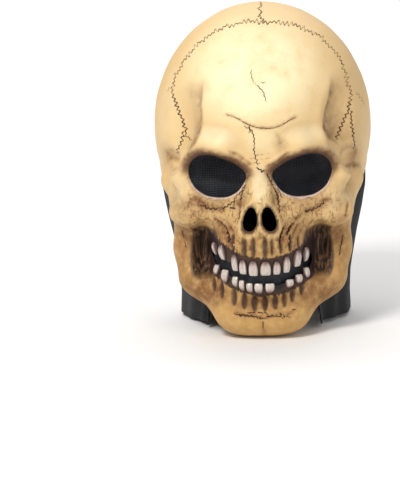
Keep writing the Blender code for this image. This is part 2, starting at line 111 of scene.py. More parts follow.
RAISED = [
    Blob("neck_core", (0, -7, 29.4), (61.2, 52.6, 45), 0, 1),
    Blob("cranium", (0, 7, 61.9), (100, 100, 38.1), 0, 24.5),
    Blob("forehead", (0, -29.8, 65.7), (62.2, 66.7, 20.8), 0, 12.2),
    Blob("face", (0, -43.9, 40.8), (77.6, 43.9, 15.9), 0, 16.3),
    Bar("brow_in", (9.2, -86.8, 55.4), (32.7, -86.8, 60.2), 9.2, 10.2, 10.2),
    Bar("brow_out", (32.7, -86.8, 60.2), (61.2, -70.2, 61.2), 10.2, 9.2, 10.2),
    Bar("orbit_side", (62.2, -70.2, 60.2), (71.4, -61.4, 51.2), 9.2, 8.2, 8.2),
    Bar("orbit_low_side", (71.4, -61.4, 50.5), (59.2, -70.2, 43.3), 8.2, 10.2, 10.2),
    Bar("orbit_low", (59.2, -70.2, 42.6), (28.6, -80.7, 40.8), 9.2, 9.2, 12.2),
    Bar("orbit_in", (28.6, -80.7, 41.2), (14.3, -86, 47.8), 9.2, 6.1, 9.2),
    Blob("cheekbone", (58.2, -64.9, 38.8), (24.5, 18.4, 4.8), 0, 10.2),
    Bar("arch", (68.4, -56.1, 40.8), (80, -29.8, 46.4), 11.2, 9.2, 10.2),
    Bar("arch_back", (80, -29.8, 46.4), (85, 5.3, 48.4), 9.2, 7.1, 10.2),
    Bar("bridge", (0, -86, 54.7), (0, -97.4, 44.3), 9.2, 11.2, 9.2),
    Blob("nose_base", (0, -80.7, 38.8), (27.6, 21.9, 6.2), 0, 10.2),
    Blob("maxilla", (0, -57.9, 30.4), (44.9, 43.9, 11.1), 0, 12.2),
    Blob("muzzle", (0, -52.6, 20.8), (46.9, 46.5, 11.8), 0, 12.2),
    Blob("chin", (0, -73.7, 7.3), (37.5, 21.1, 6.2), 0, 10.2),
    Bar("jaw_front", (23, -73.7, 9.7), (56.5, -54.4, 18.4), 18, 16, 16.3),
    Bar("jaw_corner", (56.5, -54.4, 18.4), (64.8, -43.9, 26.3), 16, 13.3, 16.3),
    Bar("ramus", (64.6, -45.6, 26.3), (67.5, -42.1, 38.8), 13.3, 11.2, 14.3),
    Bar("ramus_back", (64.3, -26.3, 26.3), (72, -17.5, 41.5), 12.2, 12.2, 16.3),
]
SUNK = [
    Blob("orbit", (37.8, -108.8, 50.2), (28.6, 35.1, 7.6), -14, 6.1),
    Blob("orbit_outer", (46.9, -98.2, 51.2), (22.4, 31.6, 6.9), 0, 7.1),
    Blob("temple", (98, -76, 68.5), (39.5, 32, 18.5), 0, 6),
    Blob("temple_pit", (84.7, -57.9, 54), (12.2, 18.4, 3.1), 0, 7),
    Blob("cheek_hollow", (52.8, -84, 27.6), (11.6, 29.5, 9.6), 0, 4.5),
    Blob("arch_slit", (89.8, -50.9, 38.8), (5.1, 10.5, 4.8), -20, 3.1),
]
ORBIT, ORBIT_OUTER, HOLLOW = (
    next(form for form in SUNK if form.name == name)
    for name in ("orbit", "orbit_outer", "cheek_hollow")
)

# Side view of the shell's rim, from the chin back to the nape: percent of (half depth, height).
RIM_LINE = [
    (-66, -3), (-60, 5), (-50, 13), (-39, 20), (-28, 25.5), (-19, 31), (-14, 38),
    (-9, 43.5), (4, 46), (14, 49.3), (36, 49.5), (72, 47), (118, 43),
]

# Eye outline, percent of (half width, half height): +x is the nose side.
EYE_OUTLINE = [
    (100, 20), (72, 53), (28, 82), (-25, 100), (-72, 86), (-100, 30),
    (-94, -30), (-60, -80), (-5, -100), (50, -86), (86, -42),
]

# Hood sections from hem to top: percent of height, of half width and of half depth.
HoodRow = namedtuple("HoodRow", "z front side back")
HOOD_ROWS = [HoodRow(*row) for row in (
    (2, 54, 81, 54), (8, 52, 80, 56), (14, 50, 81, 60),
    (20, 57, 83, 65), (28, 69, 87, 72), (35, 73, 91.5, 79),
    (42, 79, 95, 80), (49, 86, 96, 86), (57, 108, 110, 118),
)]
HOOD_CENTRE_Y = 9
TUCKED_SHARE = 0.12
SIDE_SHARE = 0.4

# Teeth from the mask's right to its left: place across is percent of the mouth's half width,
# width percent of the thickness, length percent of the row's tooth, and lift of the cutting
# edge percent of the bite gap.
Tooth = namedtuple("Tooth", "name across width length lift")


def numbered(word, rows):
    return [Tooth(f"{word}_{i}", *row) for i, row in enumerate(rows, 1)]


UPPER_TEETH = numbered("upper_tooth", [
    (-90, 180, 90, 0), (-75, 190, 106, 25), (-49, 162, 118, -15), (-33.5, 174, 102, -15),
    (-13.8, 208, 106, -4), (9.5, 240, 98, 12), (30.5, 172, 92, 8), (49, 170, 114, -4),
    (70, 205, 116, 4), (86, 190, 100, -4),
])
LOWER_TEETH = numbered("lower_tooth", [
    (-87, 185, 90, -12), (-69.5, 215, 122, 18), (-49, 150, 106, 10), (-36.2, 130, 108, -3),
    (-21.5, 150, 100, -10), (-4.5, 190, 106, 3), (16.5, 212, 100, 4), (54, 190, 80, -10),
    (72, 196, 84, -8), (87, 175, 96, 14),
])
# One tooth from its cutting edge to its root: percent of length, width and thickness.
ToothRing = namedtuple("ToothRing", "along width front")
TOOTH_RINGS = [ToothRing(*row) for row in (
    (0, 80, 42), (14, 98, 72), (45, 100, 100),
    (75, 84, 96), (100, 46, 55),
)]

# Marks of the sculptor's tools. Widths, depths, zigzags and points are millimetres; a point is
# (x, height above the chin) seen from the front, or (x, y) seen from above for the crown. The
# name only says which mark it is.
Stroke = namedtuple("Stroke", "name tool width depth zigzag points")
STROKES = [Stroke(*row) for row in (
    ("coronal_suture", "crack", 0.52, 0.7, 2.2, [
        (-58, 175), (-66, 180), (-69, 194), (-74, 205), (-77, 215), (-77, 224), (-73, 233),
        (-68, 242), (-60, 251), (-51, 260), (-39, 268), (-29, 273), (-10, 277), (13, 276),
        (26, 274), (36, 271), (51, 264), (59, 257), (67, 248), (73, 239), (78, 224),
        (81, 213), (80, 204), (78, 196), (74, 189), (70, 180), (67, 173)]),
    ("left_branch", "crack", 0.5, 0.7, 1.8, [(-68, 185), (-71, 173), (-74, 161)]),
    ("right_branch", "crack", 0.5, 0.7, 1.8, [(80, 198), (82, 182), (83, 162)]),
    ("left_spur", "crack", 0.4, 0.5, 1.4, [(-85, 215), (-79, 219), (-76, 222)]),
    ("right_spur", "crack", 0.4, 0.5, 1.6, [(84, 213), (89, 206), (93, 197)]),
    ("star_stem", "crack", 0.36, 0.5, 0.7, [
        (-6, 241), (-5, 235), (-4, 230), (0, 227), (5, 222), (8, 212)]),
    ("star_left", "crack", 0.34, 0.45, 0.5, [(-15, 234), (-7, 234)]),
    ("star_right", "crack", 0.34, 0.45, 0.8, [(1, 229), (10, 229)]),
    ("brow_fold", "crease", 1.3, 1.1, 0.2, [
        (-30, 203), (-23, 202), (-16, 199), (-9, 195), (0, 192), (12, 191), (20, 193),
        (29, 198), (35, 200)]),
    ("brow_line", "crack", 0.34, 0.5, 0.4, [
        (-29, 203), (-23, 202), (-16, 199), (-9, 195), (0, 192), (12, 191), (20, 193),
        (29, 198), (34, 199)]),
    ("glabella_line", "crack", 0.42, 0.7, 1.0, [
        (-9, 194), (-5, 189), (-3, 181), (-4, 172), (-2, 165), (-1, 158)]),
    ("glabella_spur", "crack", 0.36, 0.5, 0.8, [(-13, 194), (-6, 191), (-8, 186)]),
    ("brow_upright", "crease", 2.2, 0.6, 0.0, [(14, 190), (18, 182), (21, 176)]),
    ("brow_wrinkle_1", "crack", 0.3, 0.3, 0.2, [(-12, 170), (0, 168), (15, 170)]),
    ("brow_wrinkle_2", "crack", 0.3, 0.3, 0.2, [(-10, 166), (1, 164), (16, 166)]),
    ("brow_wrinkle_3", "crack", 0.3, 0.3, 0.2, [(-7, 162), (1, 161), (11, 162)]),
    ("scowl_left", "crease", 1.5, 1.5, 0.2, [
        (-27, 172), (-18, 169), (-12, 164), (-5, 159)]),
    ("scowl_right", "crease", 1.5, 1.5, 0.2, [
        (28, 171), (23, 168), (17, 163), (12, 159), (6, 158)]),
    ("bridge_knot", "crack", 0.5, 0.6, 0.9, [(-3, 158), (1, 156), (3, 153), (6, 156)]),
    ("nose_left", "crease", 1.3, 0.9, 0.5, [
        (-7, 157), (-9, 149), (-12, 140), (-16, 131), (-18, 124), (-18, 113)]),
    ("nose_left_outer", "crack", 0.45, 0.6, 1.0, [
        (-10, 144), (-16, 135), (-22, 127), (-29, 122), (-34, 120)]),
    ("nose_left_inner", "crack", 0.42, 0.6, 0.8, [
        (-13, 139), (-16, 130), (-17, 121), (-18, 110)]),
    ("nose_right", "crease", 1.3, 0.9, 0.5, [
        (5, 157), (7, 150), (11, 142), (15, 134), (16, 127), (18, 120), (17, 113)]),
    ("nose_right_line", "crack", 0.5, 0.7, 0.9, [
        (6, 153), (9, 146), (13, 138), (16, 131), (17, 123), (18, 116)]),
    ("nose_right_outer", "crack", 0.42, 0.5, 0.8, [(11, 148), (16, 138), (20, 128)]),
    ("under_left_eye", "crease", 2.8, 1.5, 0.6, [
        (-60, 131), (-53, 125), (-45, 121), (-37, 119), (-30, 121)]),
    ("left_pits", "crack", 0.55, 0.6, 1.6, [(-54, 123), (-45, 120), (-36, 119)]),
    ("left_mark", "crack", 0.7, 0.8, 0.3, [(-27, 121), (-23, 122), (-20, 120)]),
    ("under_right_eye", "crease", 2.4, 1.6, 0.6, [
        (29, 109), (35, 113), (42, 116), (49, 118), (56, 124), (62, 129)]),
    ("right_pits", "crack", 0.5, 0.6, 1.2, [(38, 115), (45, 117), (52, 120), (57, 125)]),
    ("left_fold_1", "crease", 1.6, 2.2, 0.4, [
        (-38, 109), (-32, 105), (-28, 98), (-26, 91), (-24, 85)]),
    ("left_fold_2", "crease", 1.2, 1.7, 0.4, [(-33, 103), (-30, 95), (-29, 88)]),
    ("left_fold_3", "crease", 1.2, 1.6, 0.3, [(-27, 106), (-23, 99), (-22, 93)]),
    ("left_fold_dark", "crack", 0.85, 1.0, 0.8, [
        (-35, 108), (-30, 104), (-28, 98), (-27, 91)]),
    ("right_fold_1", "crease", 1.4, 2.0, 0.4, [
        (22, 107), (19, 99), (17, 91), (15, 85)]),
    ("right_fold_2", "crease", 1.5, 2.2, 0.4, [
        (30, 108), (25, 102), (22, 97), (19, 92), (16, 86)]),
    ("right_fold_dark", "crack", 0.8, 0.9, 0.5, [(21, 105), (18, 97), (17, 90)]),
    ("right_edge_dark", "crack", 0.8, 0.8, 0.6, [(28, 106), (25, 101), (23, 97)]),
    ("right_fold_3", "crease", 1.4, 2.0, 0.2, [(28, 95), (26, 89), (25, 84)]),
    ("left_cheek_fold", "crease", 1.3, 1.4, 0.5, [(-42, 113), (-37, 108), (-34, 100)]),
    ("right_cheek_fold", "crease", 1.3, 1.3, 0.4, [(34, 108), (30, 100), (28, 92)]),
    ("left_arch_notch", "crease", 2.2, 1.0, 0.4, [(-85, 162), (-80, 156), (-71, 156)]),
    ("right_arch_notch", "crease", 2.2, 1.0, 0.4, [(88, 147), (80, 149), (74, 149)]),
    ("right_arch_slit", "crease", 2.0, 2.2, 0.3, [(77, 121), (76, 115), (74, 108)]),
    ("right_ramus_line", "crack", 0.5, 0.6, 0.6, [(72, 90), (70, 81), (68, 70)]),
    ("left_ramus_line", "crack", 0.4, 0.4, 0.3, [(-71, 96), (-69, 86), (-67, 78)]),
    ("chin_fold", "crease", 1.5, 1.6, 0.3, [
        (-24, 29), (-18, 26), (-10, 26), (-4, 25), (2, 23), (8, 25), (14, 27), (22, 26),
        (31, 29)]),
    ("chin_line", "crack", 0.62, 0.9, 0.8, [
        (-26, 28), (-18, 26), (-12, 26), (-6, 25), (1, 23), (7, 25), (13, 26), (20, 23)]),
    ("chin_upper_line", "crack", 0.55, 0.7, 0.8, [(-14, 28), (-5, 29), (2, 28), (9, 27)]),
    ("chin_right_line", "crack", 0.55, 0.7, 0.8, [(14, 28), (22, 24), (28, 24)]),
    ("chin_right_spur", "crack", 0.45, 0.6, 0.5, [(18, 29), (26, 29), (33, 32)]),
    ("chin_cleft", "crack", 0.4, 0.6, 0.4, [(1, 23), (1, 12)]),
    ("chin_dimple", "crease", 2.6, 1.0, 0.0, [(1, 20), (1, 12), (2, 4)]),
)]
CROWN_STROKES = [Stroke(*row) for row in (
    ("sagittal_suture", "crack", 0.45, 0.6, 1.6, [
        (2, -47), (5, -42), (0, -36), (3, -28), (-1, -20), (2, -10), (0, 10), (2, 45),
        (0, 70)]),
)]
# The flutes over the roots, all in millimetres: x, lower end, upper end, half width and depth.
Flute = namedtuple("Flute", "x low high width depth")
FLUTES = [Flute(*row) for row in (
    (-24, 82, 98, 2.0, 1.9), (-14, 80, 99, 2.5, 2.2), (-6, 80, 97, 2.2, 2.0),
    (4.5, 79, 98, 2.3, 2.1), (10.5, 81, 96, 1.4, 1.3), (18, 82, 92, 1.3, 1.2),
    (26, 83, 97, 1.9, 1.9), (33, 85, 94, 1.4, 1.2),
    (-42, 46, 56, 1.8, 1.3), (-35, 41, 54, 2.1, 1.8), (-24, 36, 50, 2.5, 2.0),
    (-15, 33, 46, 2.4, 2.0), (-6, 31, 44, 2.5, 2.1), (3, 31, 43, 2.4, 2.1),
    (12, 32, 44, 2.4, 2.0), (20, 34, 47, 2.1, 1.9), (27, 38, 51, 2.3, 1.9),
    (35, 43, 55, 2.3, 1.7),
)]
# The ledges where the forehead drops to the temples, on the mask's right (side -1) and left: the
# drop in millimetres, how strong the painted shade beside it is, how far that spreads, and the
# edge as (height, how far out).
Ledge = namedtuple("Ledge", "side drop stain spread line")
LEDGES = [Ledge(*row) for row in (
    (-1, 1.9, 0.95, 4.5, [(170, 61), (176, 56), (185, 51), (196, 49), (209, 50), (235, 47)]),
    (1, 2.0, 1.0, 8, [(172, 66), (178, 60), (188, 56), (200, 57), (212, 61), (235, 64)]),
)]
LEDGE_FADE = 30 * MM
TRAIL_STEP = 0.5 * MM
ZIGZAG_STEP = 1.9 * MM

# Soft paint, sprayed from the front: centre and radii in millimetres as (x, height), and how
# strong it is.
Spray = namedtuple("Spray", "centre radii strength")
# The pale sprays are pale paint with painted highlight; the brown ones brown paint with painted
# shade.
SPRAYS = {
    "pale": [
        ((-4, 236), (62, 44), 1.0), ((-38, 184), (22, 9), 0.6), ((42, 184), (20, 8), 0.45),
        ((3, 182), (16, 14), 0.4), ((1, 142), (7, 18), 0.75), ((-72, 122), (11, 26), 0.45),
        ((66, 122), (14, 14), 0.3), ((-82, 200), (14, 40), 0.25),
    ],
    "black": [
        ((16, 54), (5.5, 6.5), 1.0),
    ],
    "brown": [
        ((-64, 68), (20, 44), 0.5), ((64, 70), (18, 44), 0.36), ((-45, 46), (16, 13), 0.75),
        ((49, 42), (22, 15), 0.75), ((-62, 118), (20, 12), 0.32), ((0, 90), (34, 12), 0.35),
        ((0, 36), (38, 9), 0.5), ((0, 146), (5, 12), 0.2), ((-57, 221), (8, 8), 0.22),
        ((72, 178), (16, 22), 0.25), ((20, 176), (7, 8), 0.3), ((-84, 160), (9, 12), 0.35),
        ((84, 156), (9, 14), 0.4), ((-45, 124), (26, 8), 0.38), ((46, 122), (24, 7), 0.35),
        ((-17, 128), (6, 18), 0.12), ((17, 128), (6, 18), 0.16), ((-30, 98), (10, 14), 0.5),
        ((-36, 92), (8, 12), 0.6), ((22, 98), (9, 14), 0.45), ((34, 92), (8, 12), 0.6),
        ((0, 24), (36, 5), 0.25), ((-54, 44), (24, 16), 0.65), ((70, 90), (8, 30), 0.3),
        ((-72, 90), (6, 30), 0.2),
    ],
}


def placed(shares):
    """Percent of (half width, half depth, height) as metres."""
    return np.array(shares, float) / 100 * SIZE


def wide(share):
    """Percent of the half width as metres."""
    return share / 100 * HALF_WIDTH


def smooth(low, high, value):
    """0 below low and 1 above high, or the other way round, eased between."""
    share = np.clip((value - low) / (high - low), 0, 1)
    return share * share * (3 - 2 * share)


def ease(low, high, value):
    """The same, with the limits in millimetres."""
    return smooth(low * MM, high * MM, value)


def bell(value, middle, width):
    """1 at the middle, fading to both sides."""
    return np.exp(-(((value - middle) / width) ** 2))


def melt(a, b, blend):
    """Smooth minimum of two distances."""
    h = np.maximum(blend - np.abs(a - b), 0) / blend
    return np.minimum(a, b) - h * h * blend / 4


def blob_distance(points, blob):
    q = points - placed(blob.centre)
    lean = math.radians(blob.lean)
    c, s = math.cos(lean), math.sin(lean)
    q = np.stack([c * q[:, 0] + s * q[:, 2], q[:, 1], c * q[:, 2] - s * q[:, 0]], 1)
    radii = placed(blob.radii)
    inner = np.linalg.norm(q / radii, axis=1)
    slope = np.linalg.norm(q / radii**2, axis=1)
    return inner * (inner - 1) / np.maximum(slope, 1e-9)


def bar_distance(points, bar):
    start, end = placed(bar.start), placed(bar.end)
    along = end - start
    t = np.clip(((points - start) @ along) / (along @ along), 0, 1)
    radius = wide(bar.start_radius) + wide(bar.end_radius - bar.start_radius) * t
    return np.linalg.norm(points - start - t[:, None] * along, axis=1) - radius


def distance(points, form):
    return (blob_distance if isinstance(form, Blob) else bar_distance)(points, form)


def mirrored(points):
    """The points, those on the right moved over to the left."""
    points = np.array(points, float)
    points[:, 0] = np.abs(points[:, 0])
    return points


def head_form(points):
    """Signed distance to the mask's outer skin, below zero inside."""
    points = mirrored(points)
    found = distance(points, RAISED[0])
    for form in RAISED[1:]:
        found = melt(found, distance(points, form), wide(form.blend))
    for form in SUNK:
        found = -melt(-found, distance(points, form), wide(form.blend))
    return found


# How finely a ray is searched for the skin, and how often the step found is halved.
SKIN_STEPS = 60
SKIN_HALVINGS = 12


def skin_hits(starts, directions, reach, level=0.0):
    """The outermost point on each ray, within reach, where the head form crosses a level."""
    high = np.full(len(starts), reach)
    found = np.zeros(len(starts), bool)
    for _ in range(SKIN_STEPS):
        index = np.flatnonzero(~found)
        trial = high[index] - reach / SKIN_STEPS
        inside = head_form(starts[index] + directions[index] * trial[:, None]) < level
        found[index[inside]] = True
        high[index[~inside]] = trial[~inside]
    low = high - reach / SKIN_STEPS
    for _ in range(SKIN_HALVINGS):
        middle = (low + high) / 2
        inside = head_form(starts + directions * middle[:, None]) < level
        low = np.where(inside, middle, low)
        high = np.where(inside, high, middle)
    return starts + directions * ((low + high) / 2)[:, None]


def skin_normals(points):
    """Outward unit normals of the head form."""
    step = LATEX_WALL / 5
    slopes = [
        head_form(points + axis) - head_form(points - axis) for axis in np.eye(3) * step
    ]
    normals = np.stack(slopes, 1)
    return normals / np.linalg.norm(normals, axis=1, keepdims=True)


def face_points(x, z):
    """Points of the face's outer skin seen from the front at (x, z)."""
    reach = 2.4 * HALF_DEPTH
    starts = np.stack([x, np.full_like(x, reach - 1.2 * HALF_DEPTH), z], 1)
    return skin_hits(starts, np.tile((0.0, -1.0, 0.0), (len(x), 1)), reach)


def crown_points(x, y):
    """Points of the outer skin seen from above at (x, y)."""
    starts = np.stack([x, y, np.full_like(x, HEIGHT / 2)], 1)
    return skin_hits(starts, np.tile((0.0, 0.0, 1.0), (len(x), 1)), HEIGHT)


def smile(x, height):
    """z of the mouth's curve at x: it rises to both ends, and a little more to one."""
    share = x / MOUTH_HALF_WIDTH
    return height + SMILE_RISE * share**2 + SMILE_TILT * share


def grain(points, size, octaves=4, stretch=(1, 1, 1)):
    """Fractal noise, about -1 to 1, with features of a size in metres."""
    scaled = points * np.array(stretch) / size
    return np.array([noise.fractal(Vector(p), 0.9, 2.1, octaves) for p in scaled])


class Trails:
    """Points along the strokes of one tool, for finding how far a place is from the nearest."""

    def __init__(self):
        self.points = []
        self.widths = []
        self.depths = []

    def add(self, points, width, depth):
        self.points.extend(points)
        self.widths.extend(width)
        self.depths.extend(depth)

    def near(self, points):
        """Distance over the stroke's width, and the stroke's depth, at each point."""
        tree = kdtree.KDTree(len(self.points))
        for i, point in enumerate(self.points):
            tree.insert(point, i)
        tree.balance()
        found = [tree.find(point)[1:] for point in points]
        index = np.array([i for i, _ in found])
        far = np.array([d for _, d in found])
        return far / np.array(self.widths)[index], np.array(self.depths)[index]


def jagged_line(corners, zigzag, dice):
    """A line through corners, rounded, with uneven teeth to both sides."""
    corners = np.array(corners, float) * MM
    steps = np.linalg.norm(np.diff(corners, axis=0), axis=1)
    along = np.concatenate([[0], np.cumsum(steps)])
    count = max(int(along[-1] / TRAIL_STEP), 4)
    s = np.linspace(0, along[-1], count)
    line = np.stack([np.interp(s, along, corners[:, i]) for i in (0, 1)], 1)
    reach = 5
    padded = np.pad(line, ((reach, reach), (0, 0)), mode="edge")
    kernel = np.ones(2 * reach + 1) / (2 * reach + 1)
    line = np.stack([np.convolve(padded[:, i], kernel, "valid") for i in (0, 1)], 1)
    slope = np.gradient(line, axis=0)
    side = np.stack([-slope[:, 1], slope[:, 0]], 1)
    side /= np.linalg.norm(side, axis=1, keepdims=True) + 1e-12
    knots = np.arange(0, along[-1] + ZIGZAG_STEP, ZIGZAG_STEP)
    swing = dice.uniform(0.15, 1.0, len(knots)) * np.where(np.arange(len(knots)) % 2, 1, -1)
    offset = np.interp(s, knots, swing) * zigzag * MM
    press = np.interp(s, knots, dice.uniform(0.4, 1.0, len(knots)))
    fade = np.clip(np.minimum(s, along[-1] - s) / (2.5 * MM), 0.35, 1)
    return line + side * offset[:, None], press * fade


def make_trails():
    """The strokes laid on the skin, sorted by tool."""
    dice = np.random.default_rng(11)
    trails = {"crack": Trails(), "crease": Trails(), "flute": Trails()}
    for strokes, lay in ((STROKES, face_points), (CROWN_STROKES, crown_points)):
        for stroke in strokes:
            line, press = jagged_line(stroke.points, stroke.zigzag, dice)
            width = stroke.width * MM * (0.6 + 0.4 * press)
            trails[stroke.tool].add(lay(line[:, 0], line[:, 1]), width, stroke.depth * MM * press)
    for flute in FLUTES:
        z = np.arange(flute.low, flute.high, 0.5) * MM
        line = face_points(np.full_like(z, flute.x * MM), z)
        taper = np.sin(np.linspace(0.12, 0.92, len(z)) * math.pi) ** 0.5
        trails["flute"].add(line, flute.width * MM * taper, flute.depth * MM * taper)
    return trails


def ledge_share(points, ledge):
    """How far outside a ledge's edge each point is, and 1 along its height, 0 past its ends."""
    line = np.array(ledge.line, float) * MM
    z = points[:, 2]
    outside = ledge.side * points[:, 0] - np.interp(z, line[:, 0], line[:, 1])
    low, high = line[0, 0], line[-1, 0]
    along = smooth(low - 4 * MM, low + 8 * MM, z) * smooth(high, high - 22 * MM, z)
    return outside, along * (points[:, 1] < 0)


def nostril_share(points):
    """How far out from the nearer nostril's centre each point is, 1 on its outline."""
    z = points[:, 2] - NOSTRIL_HEIGHT
    x = np.abs(points[:, 0]) - NOSTRIL_SPREAD + z * math.tan(NOSTRIL_LEAN)
    pear = 1 - 0.22 * np.clip(z / NOSTRIL_HALF_HEIGHT, -1, 1)
    return np.hypot(x / (NOSTRIL_HALF_WIDTH * pear), z / NOSTRIL_HALF_HEIGHT)


def hollow_share(points):
    """1 in the dark hollows beside the teeth, between the heights that the paint keeps to."""
    depth = blob_distance(mirrored(points), HOLLOW)
    z = points[:, 2]
    height = ease(52, 60, z) * ease(103, 97, z)
    dark = ease(4.8, 2.6, depth) * height
    return dark * (points[:, 1] < -0.3 * HALF_DEPTH)


def socket_depth(points):
    """How far each point lies outside the hollows of the eye sockets."""
    left = mirrored(points)
    return np.minimum(blob_distance(left, ORBIT), blob_distance(left, ORBIT_OUTER))


def gum_share(points):
    """1 on the gum round the teeth, fading out above and below them."""
    x, z = points[:, 0], points[:, 2]
    above = z - smile(x, MOUTH_HEIGHT + BITE_GAP / 2)
    below = smile(x, MOUTH_HEIGHT - BITE_GAP / 2) - z
    upper = smooth(1.55 * UPPER_TOOTH, 1.0 * UPPER_TOOTH, above)
    lower = smooth(1.65 * LOWER_TOOTH, 1.0 * LOWER_TOOTH, below)
    sides = smooth(1.12 * MOUTH_HALF_WIDTH, 0.98 * MOUTH_HALF_WIDTH, np.abs(x))
    return upper * lower * sides * (points[:, 1] < -0.4 * HALF_DEPTH)


def wrinkled_share(points):
    """Where the skin is pitted and wrinkled: round the nose and on the cheeks."""
    x, z = np.abs(points[:, 0]), points[:, 2]
    cheeks = ease(96, 106, z) * ease(140, 124, z)
    cheeks *= ease(78, 60, x)
    nose = ease(13, 9, np.abs(x - 17 * MM)) * ease(158, 145, z)
    nose *= ease(80, 88, z)
    muzzle = ease(40, 30, x) * ease(80, 86, z)
    muzzle *= ease(110, 100, z)
    front = smooth(-0.45 * HALF_DEPTH, -0.6 * HALF_DEPTH, points[:, 1])
    return np.clip(cheeks + nose + 0.8 * muzzle, 0, 1) * front


# How high the sculpted skin stands or swells, each at most.
HAND_SWELL = 0.35 * MM
LEDGE_LIP = 0.5 * MM
WRINKLE_SWELL = 0.55 * MM
HOLLOW_SWELL = 0.9 * MM
GUM_SWELL = 0.35 * MM
SOCKET_CREST = 1.0 * MM
NOSTRIL_RIM = 1.1 * MM
BANK_SHARE = 0.3


def relief(points, trails):
    """How far the sculpted skin stands above the plain head form."""
    height = HAND_SWELL * grain(points, 24 * MM, 3)
    for tool, power in (("crack", 2), ("crease", 2), ("flute", 4)):
        ratio, depth = trails[tool].near(points)
        height -= depth * np.exp(-ratio**power)
        if tool != "crack":
            height += BANK_SHARE * depth * bell(ratio, 1.9, 0.7)
    for ledge in LEDGES:
        outside, along = ledge_share(points, ledge)
        fall = ease(-1.5, 4, outside) * smooth(LEDGE_FADE, 8 * MM, outside)
        height -= ledge.drop * MM * fall * along
        height += LEDGE_LIP * bell(outside, -4 * MM, 4 * MM) * along
    wrinkled = wrinkled_share(points)
    height += wrinkled * WRINKLE_SWELL * grain(points, 3.4 * MM, 4, (1, 1, 0.6))
    streaks = grain(points, 3.0 * MM, 3, (1, 0.4, 0.14))
    height += hollow_share(points) * HOLLOW_SWELL * streaks
    height += gum_share(points) * GUM_SWELL * grain(points, 2.6 * MM, 3, (1, 1, 0.35))
    crest = bell(socket_depth(points), 3.4 * MM, 2.2 * MM)
    height += SOCKET_CREST * crest * (points[:, 1] < -0.55 * HALF_DEPTH)
    share = nostril_share(points)
    ahead = points[:, 1] < -0.6 * HALF_DEPTH
    height += ahead * NOSTRIL_RIM * bell(share, 1.22, 0.2)
    return height


def linked(name, data):
    """A new object of the data, in the scene."""
    made = bpy.data.objects.new(name, data)
    bpy.context.scene.collection.objects.link(made)
    return made


def new_object(name, mesh, materials):
    """A piece of a mesh drawn from the chin up, set so that the crown is the origin."""
    mesh.transform(Matrix.Translation(-CROWN))
    made = linked(name, mesh)
    for material in materials:
        mesh.materials.append(material)
    return made


@contextmanager
def edited(mesh):
    """The mesh as a bmesh, written back at the end."""
    builder = bmesh.new()
    builder.from_mesh(mesh)
    yield builder
    builder.to_mesh(mesh)
    builder.free()


def mesh_of(name, points, faces):
    mesh = bpy.data.meshes.new(name)
    mesh.from_pydata([tuple(p) for p in points], [], [tuple(f) for f in faces])
    mesh.validate()
    mesh.update()
    return mesh


def bands(up, across, closed=True, base=0):
    """Quads between rows of points, row by row, each row a closed ring or open."""
    faces = []
    for row in range(up - 1):
        a, b = base + row * across, base + (row + 1) * across
        for i in range(across if closed else across - 1):
            j = (i + 1) % across
            faces.append((a + i, a + j, b + j, b + i))
    return faces


def shade_smooth(mesh):
    mesh.polygons.foreach_set("use_smooth", [True] * len(mesh.polygons))


def spaced(stretches):
    """Values from (start, end, count) stretches that follow on from each other."""
    parts = [np.linspace(a, b, n, endpoint=False) for a, b, n in stretches]
    return np.concatenate(parts + [[stretches[-1][1]]])


# The rays that carry the skin: a low turn under the chin, level ones up the face, then the
# fan over the dome. Rows are (share of the way up, z percent, y percent, tilt degrees).
RAY_ROWS = [(0.00, 9, -30, -62), (0.10, 11, -28, 0), (0.52, 52, -8, 0), (1.00, 52, 4, 90)]


def ray_skin(turns, shares, level):
    """A closed skin at a level of the head form: rays turn round the head, row by row."""
    rows = np.array(RAY_ROWS, float)
    turn, share = (grid.ravel() for grid in np.meshgrid(turns, shares))
    z, y, tilt = (np.interp(share, rows[:, 0], rows[:, i]) for i in (1, 2, 3))
    tilt = np.radians(tilt)
    starts = np.stack([0 * turn, y / 100 * HALF_DEPTH, z / 100 * HEIGHT], 1)
    ahead = -np.cos(turn) * np.cos(tilt)
    directions = np.stack([np.sin(turn) * np.cos(tilt), ahead, np.sin(tilt)], 1)
    points = skin_hits(starts, directions, 1.8 * HALF_DEPTH, level)
    top = skin_hits(starts[-1:], np.array([[0.0, 0.0, 1.0]]), 1.8 * HALF_DEPTH, level)
    foot = points[:len(turns)].mean(axis=0, keepdims=True)
    across, up = len(turns), len(shares)
    faces = bands(up, across)
    last = (up - 1) * across
    for i in range(across):
        j = (i + 1) % across
        faces.append((last + i, last + j, up * across))
        faces.append((j, i, up * across + 1))
    return np.concatenate([points, top, foot]), faces


def refine(mesh, trails, reaches, longest):
    """Splits the edges within reach of the strokes, and the face's longest, in two."""
    with edited(mesh) as builder:
        builder.verts.ensure_lookup_table()
        points = np.array([corner.co for corner in builder.verts])
        near = np.zeros(len(points), bool)
        for tool, reach in reaches.items():
            near |= trails[tool].near(points)[0] < reach
        edges = [
            edge for edge in builder.edges
            if near[edge.verts[0].index] and near[edge.verts[1].index]
            or edge.calc_length() > longest and edge.verts[0].co.y < 0
        ]
        bmesh.ops.subdivide_edges(builder, edges=edges, cuts=1, use_grid_fill=True)
        bmesh.ops.triangulate(builder, faces=[f for f in builder.faces if len(f.verts) > 4])


def points_of(mesh):
    flat = np.empty(len(mesh.vertices) * 3)
    mesh.vertices.foreach_get("co", flat)
    return flat.reshape(-1, 3)


def set_points(mesh, points):
    mesh.vertices.foreach_set("co", points.ravel())
    mesh.update()


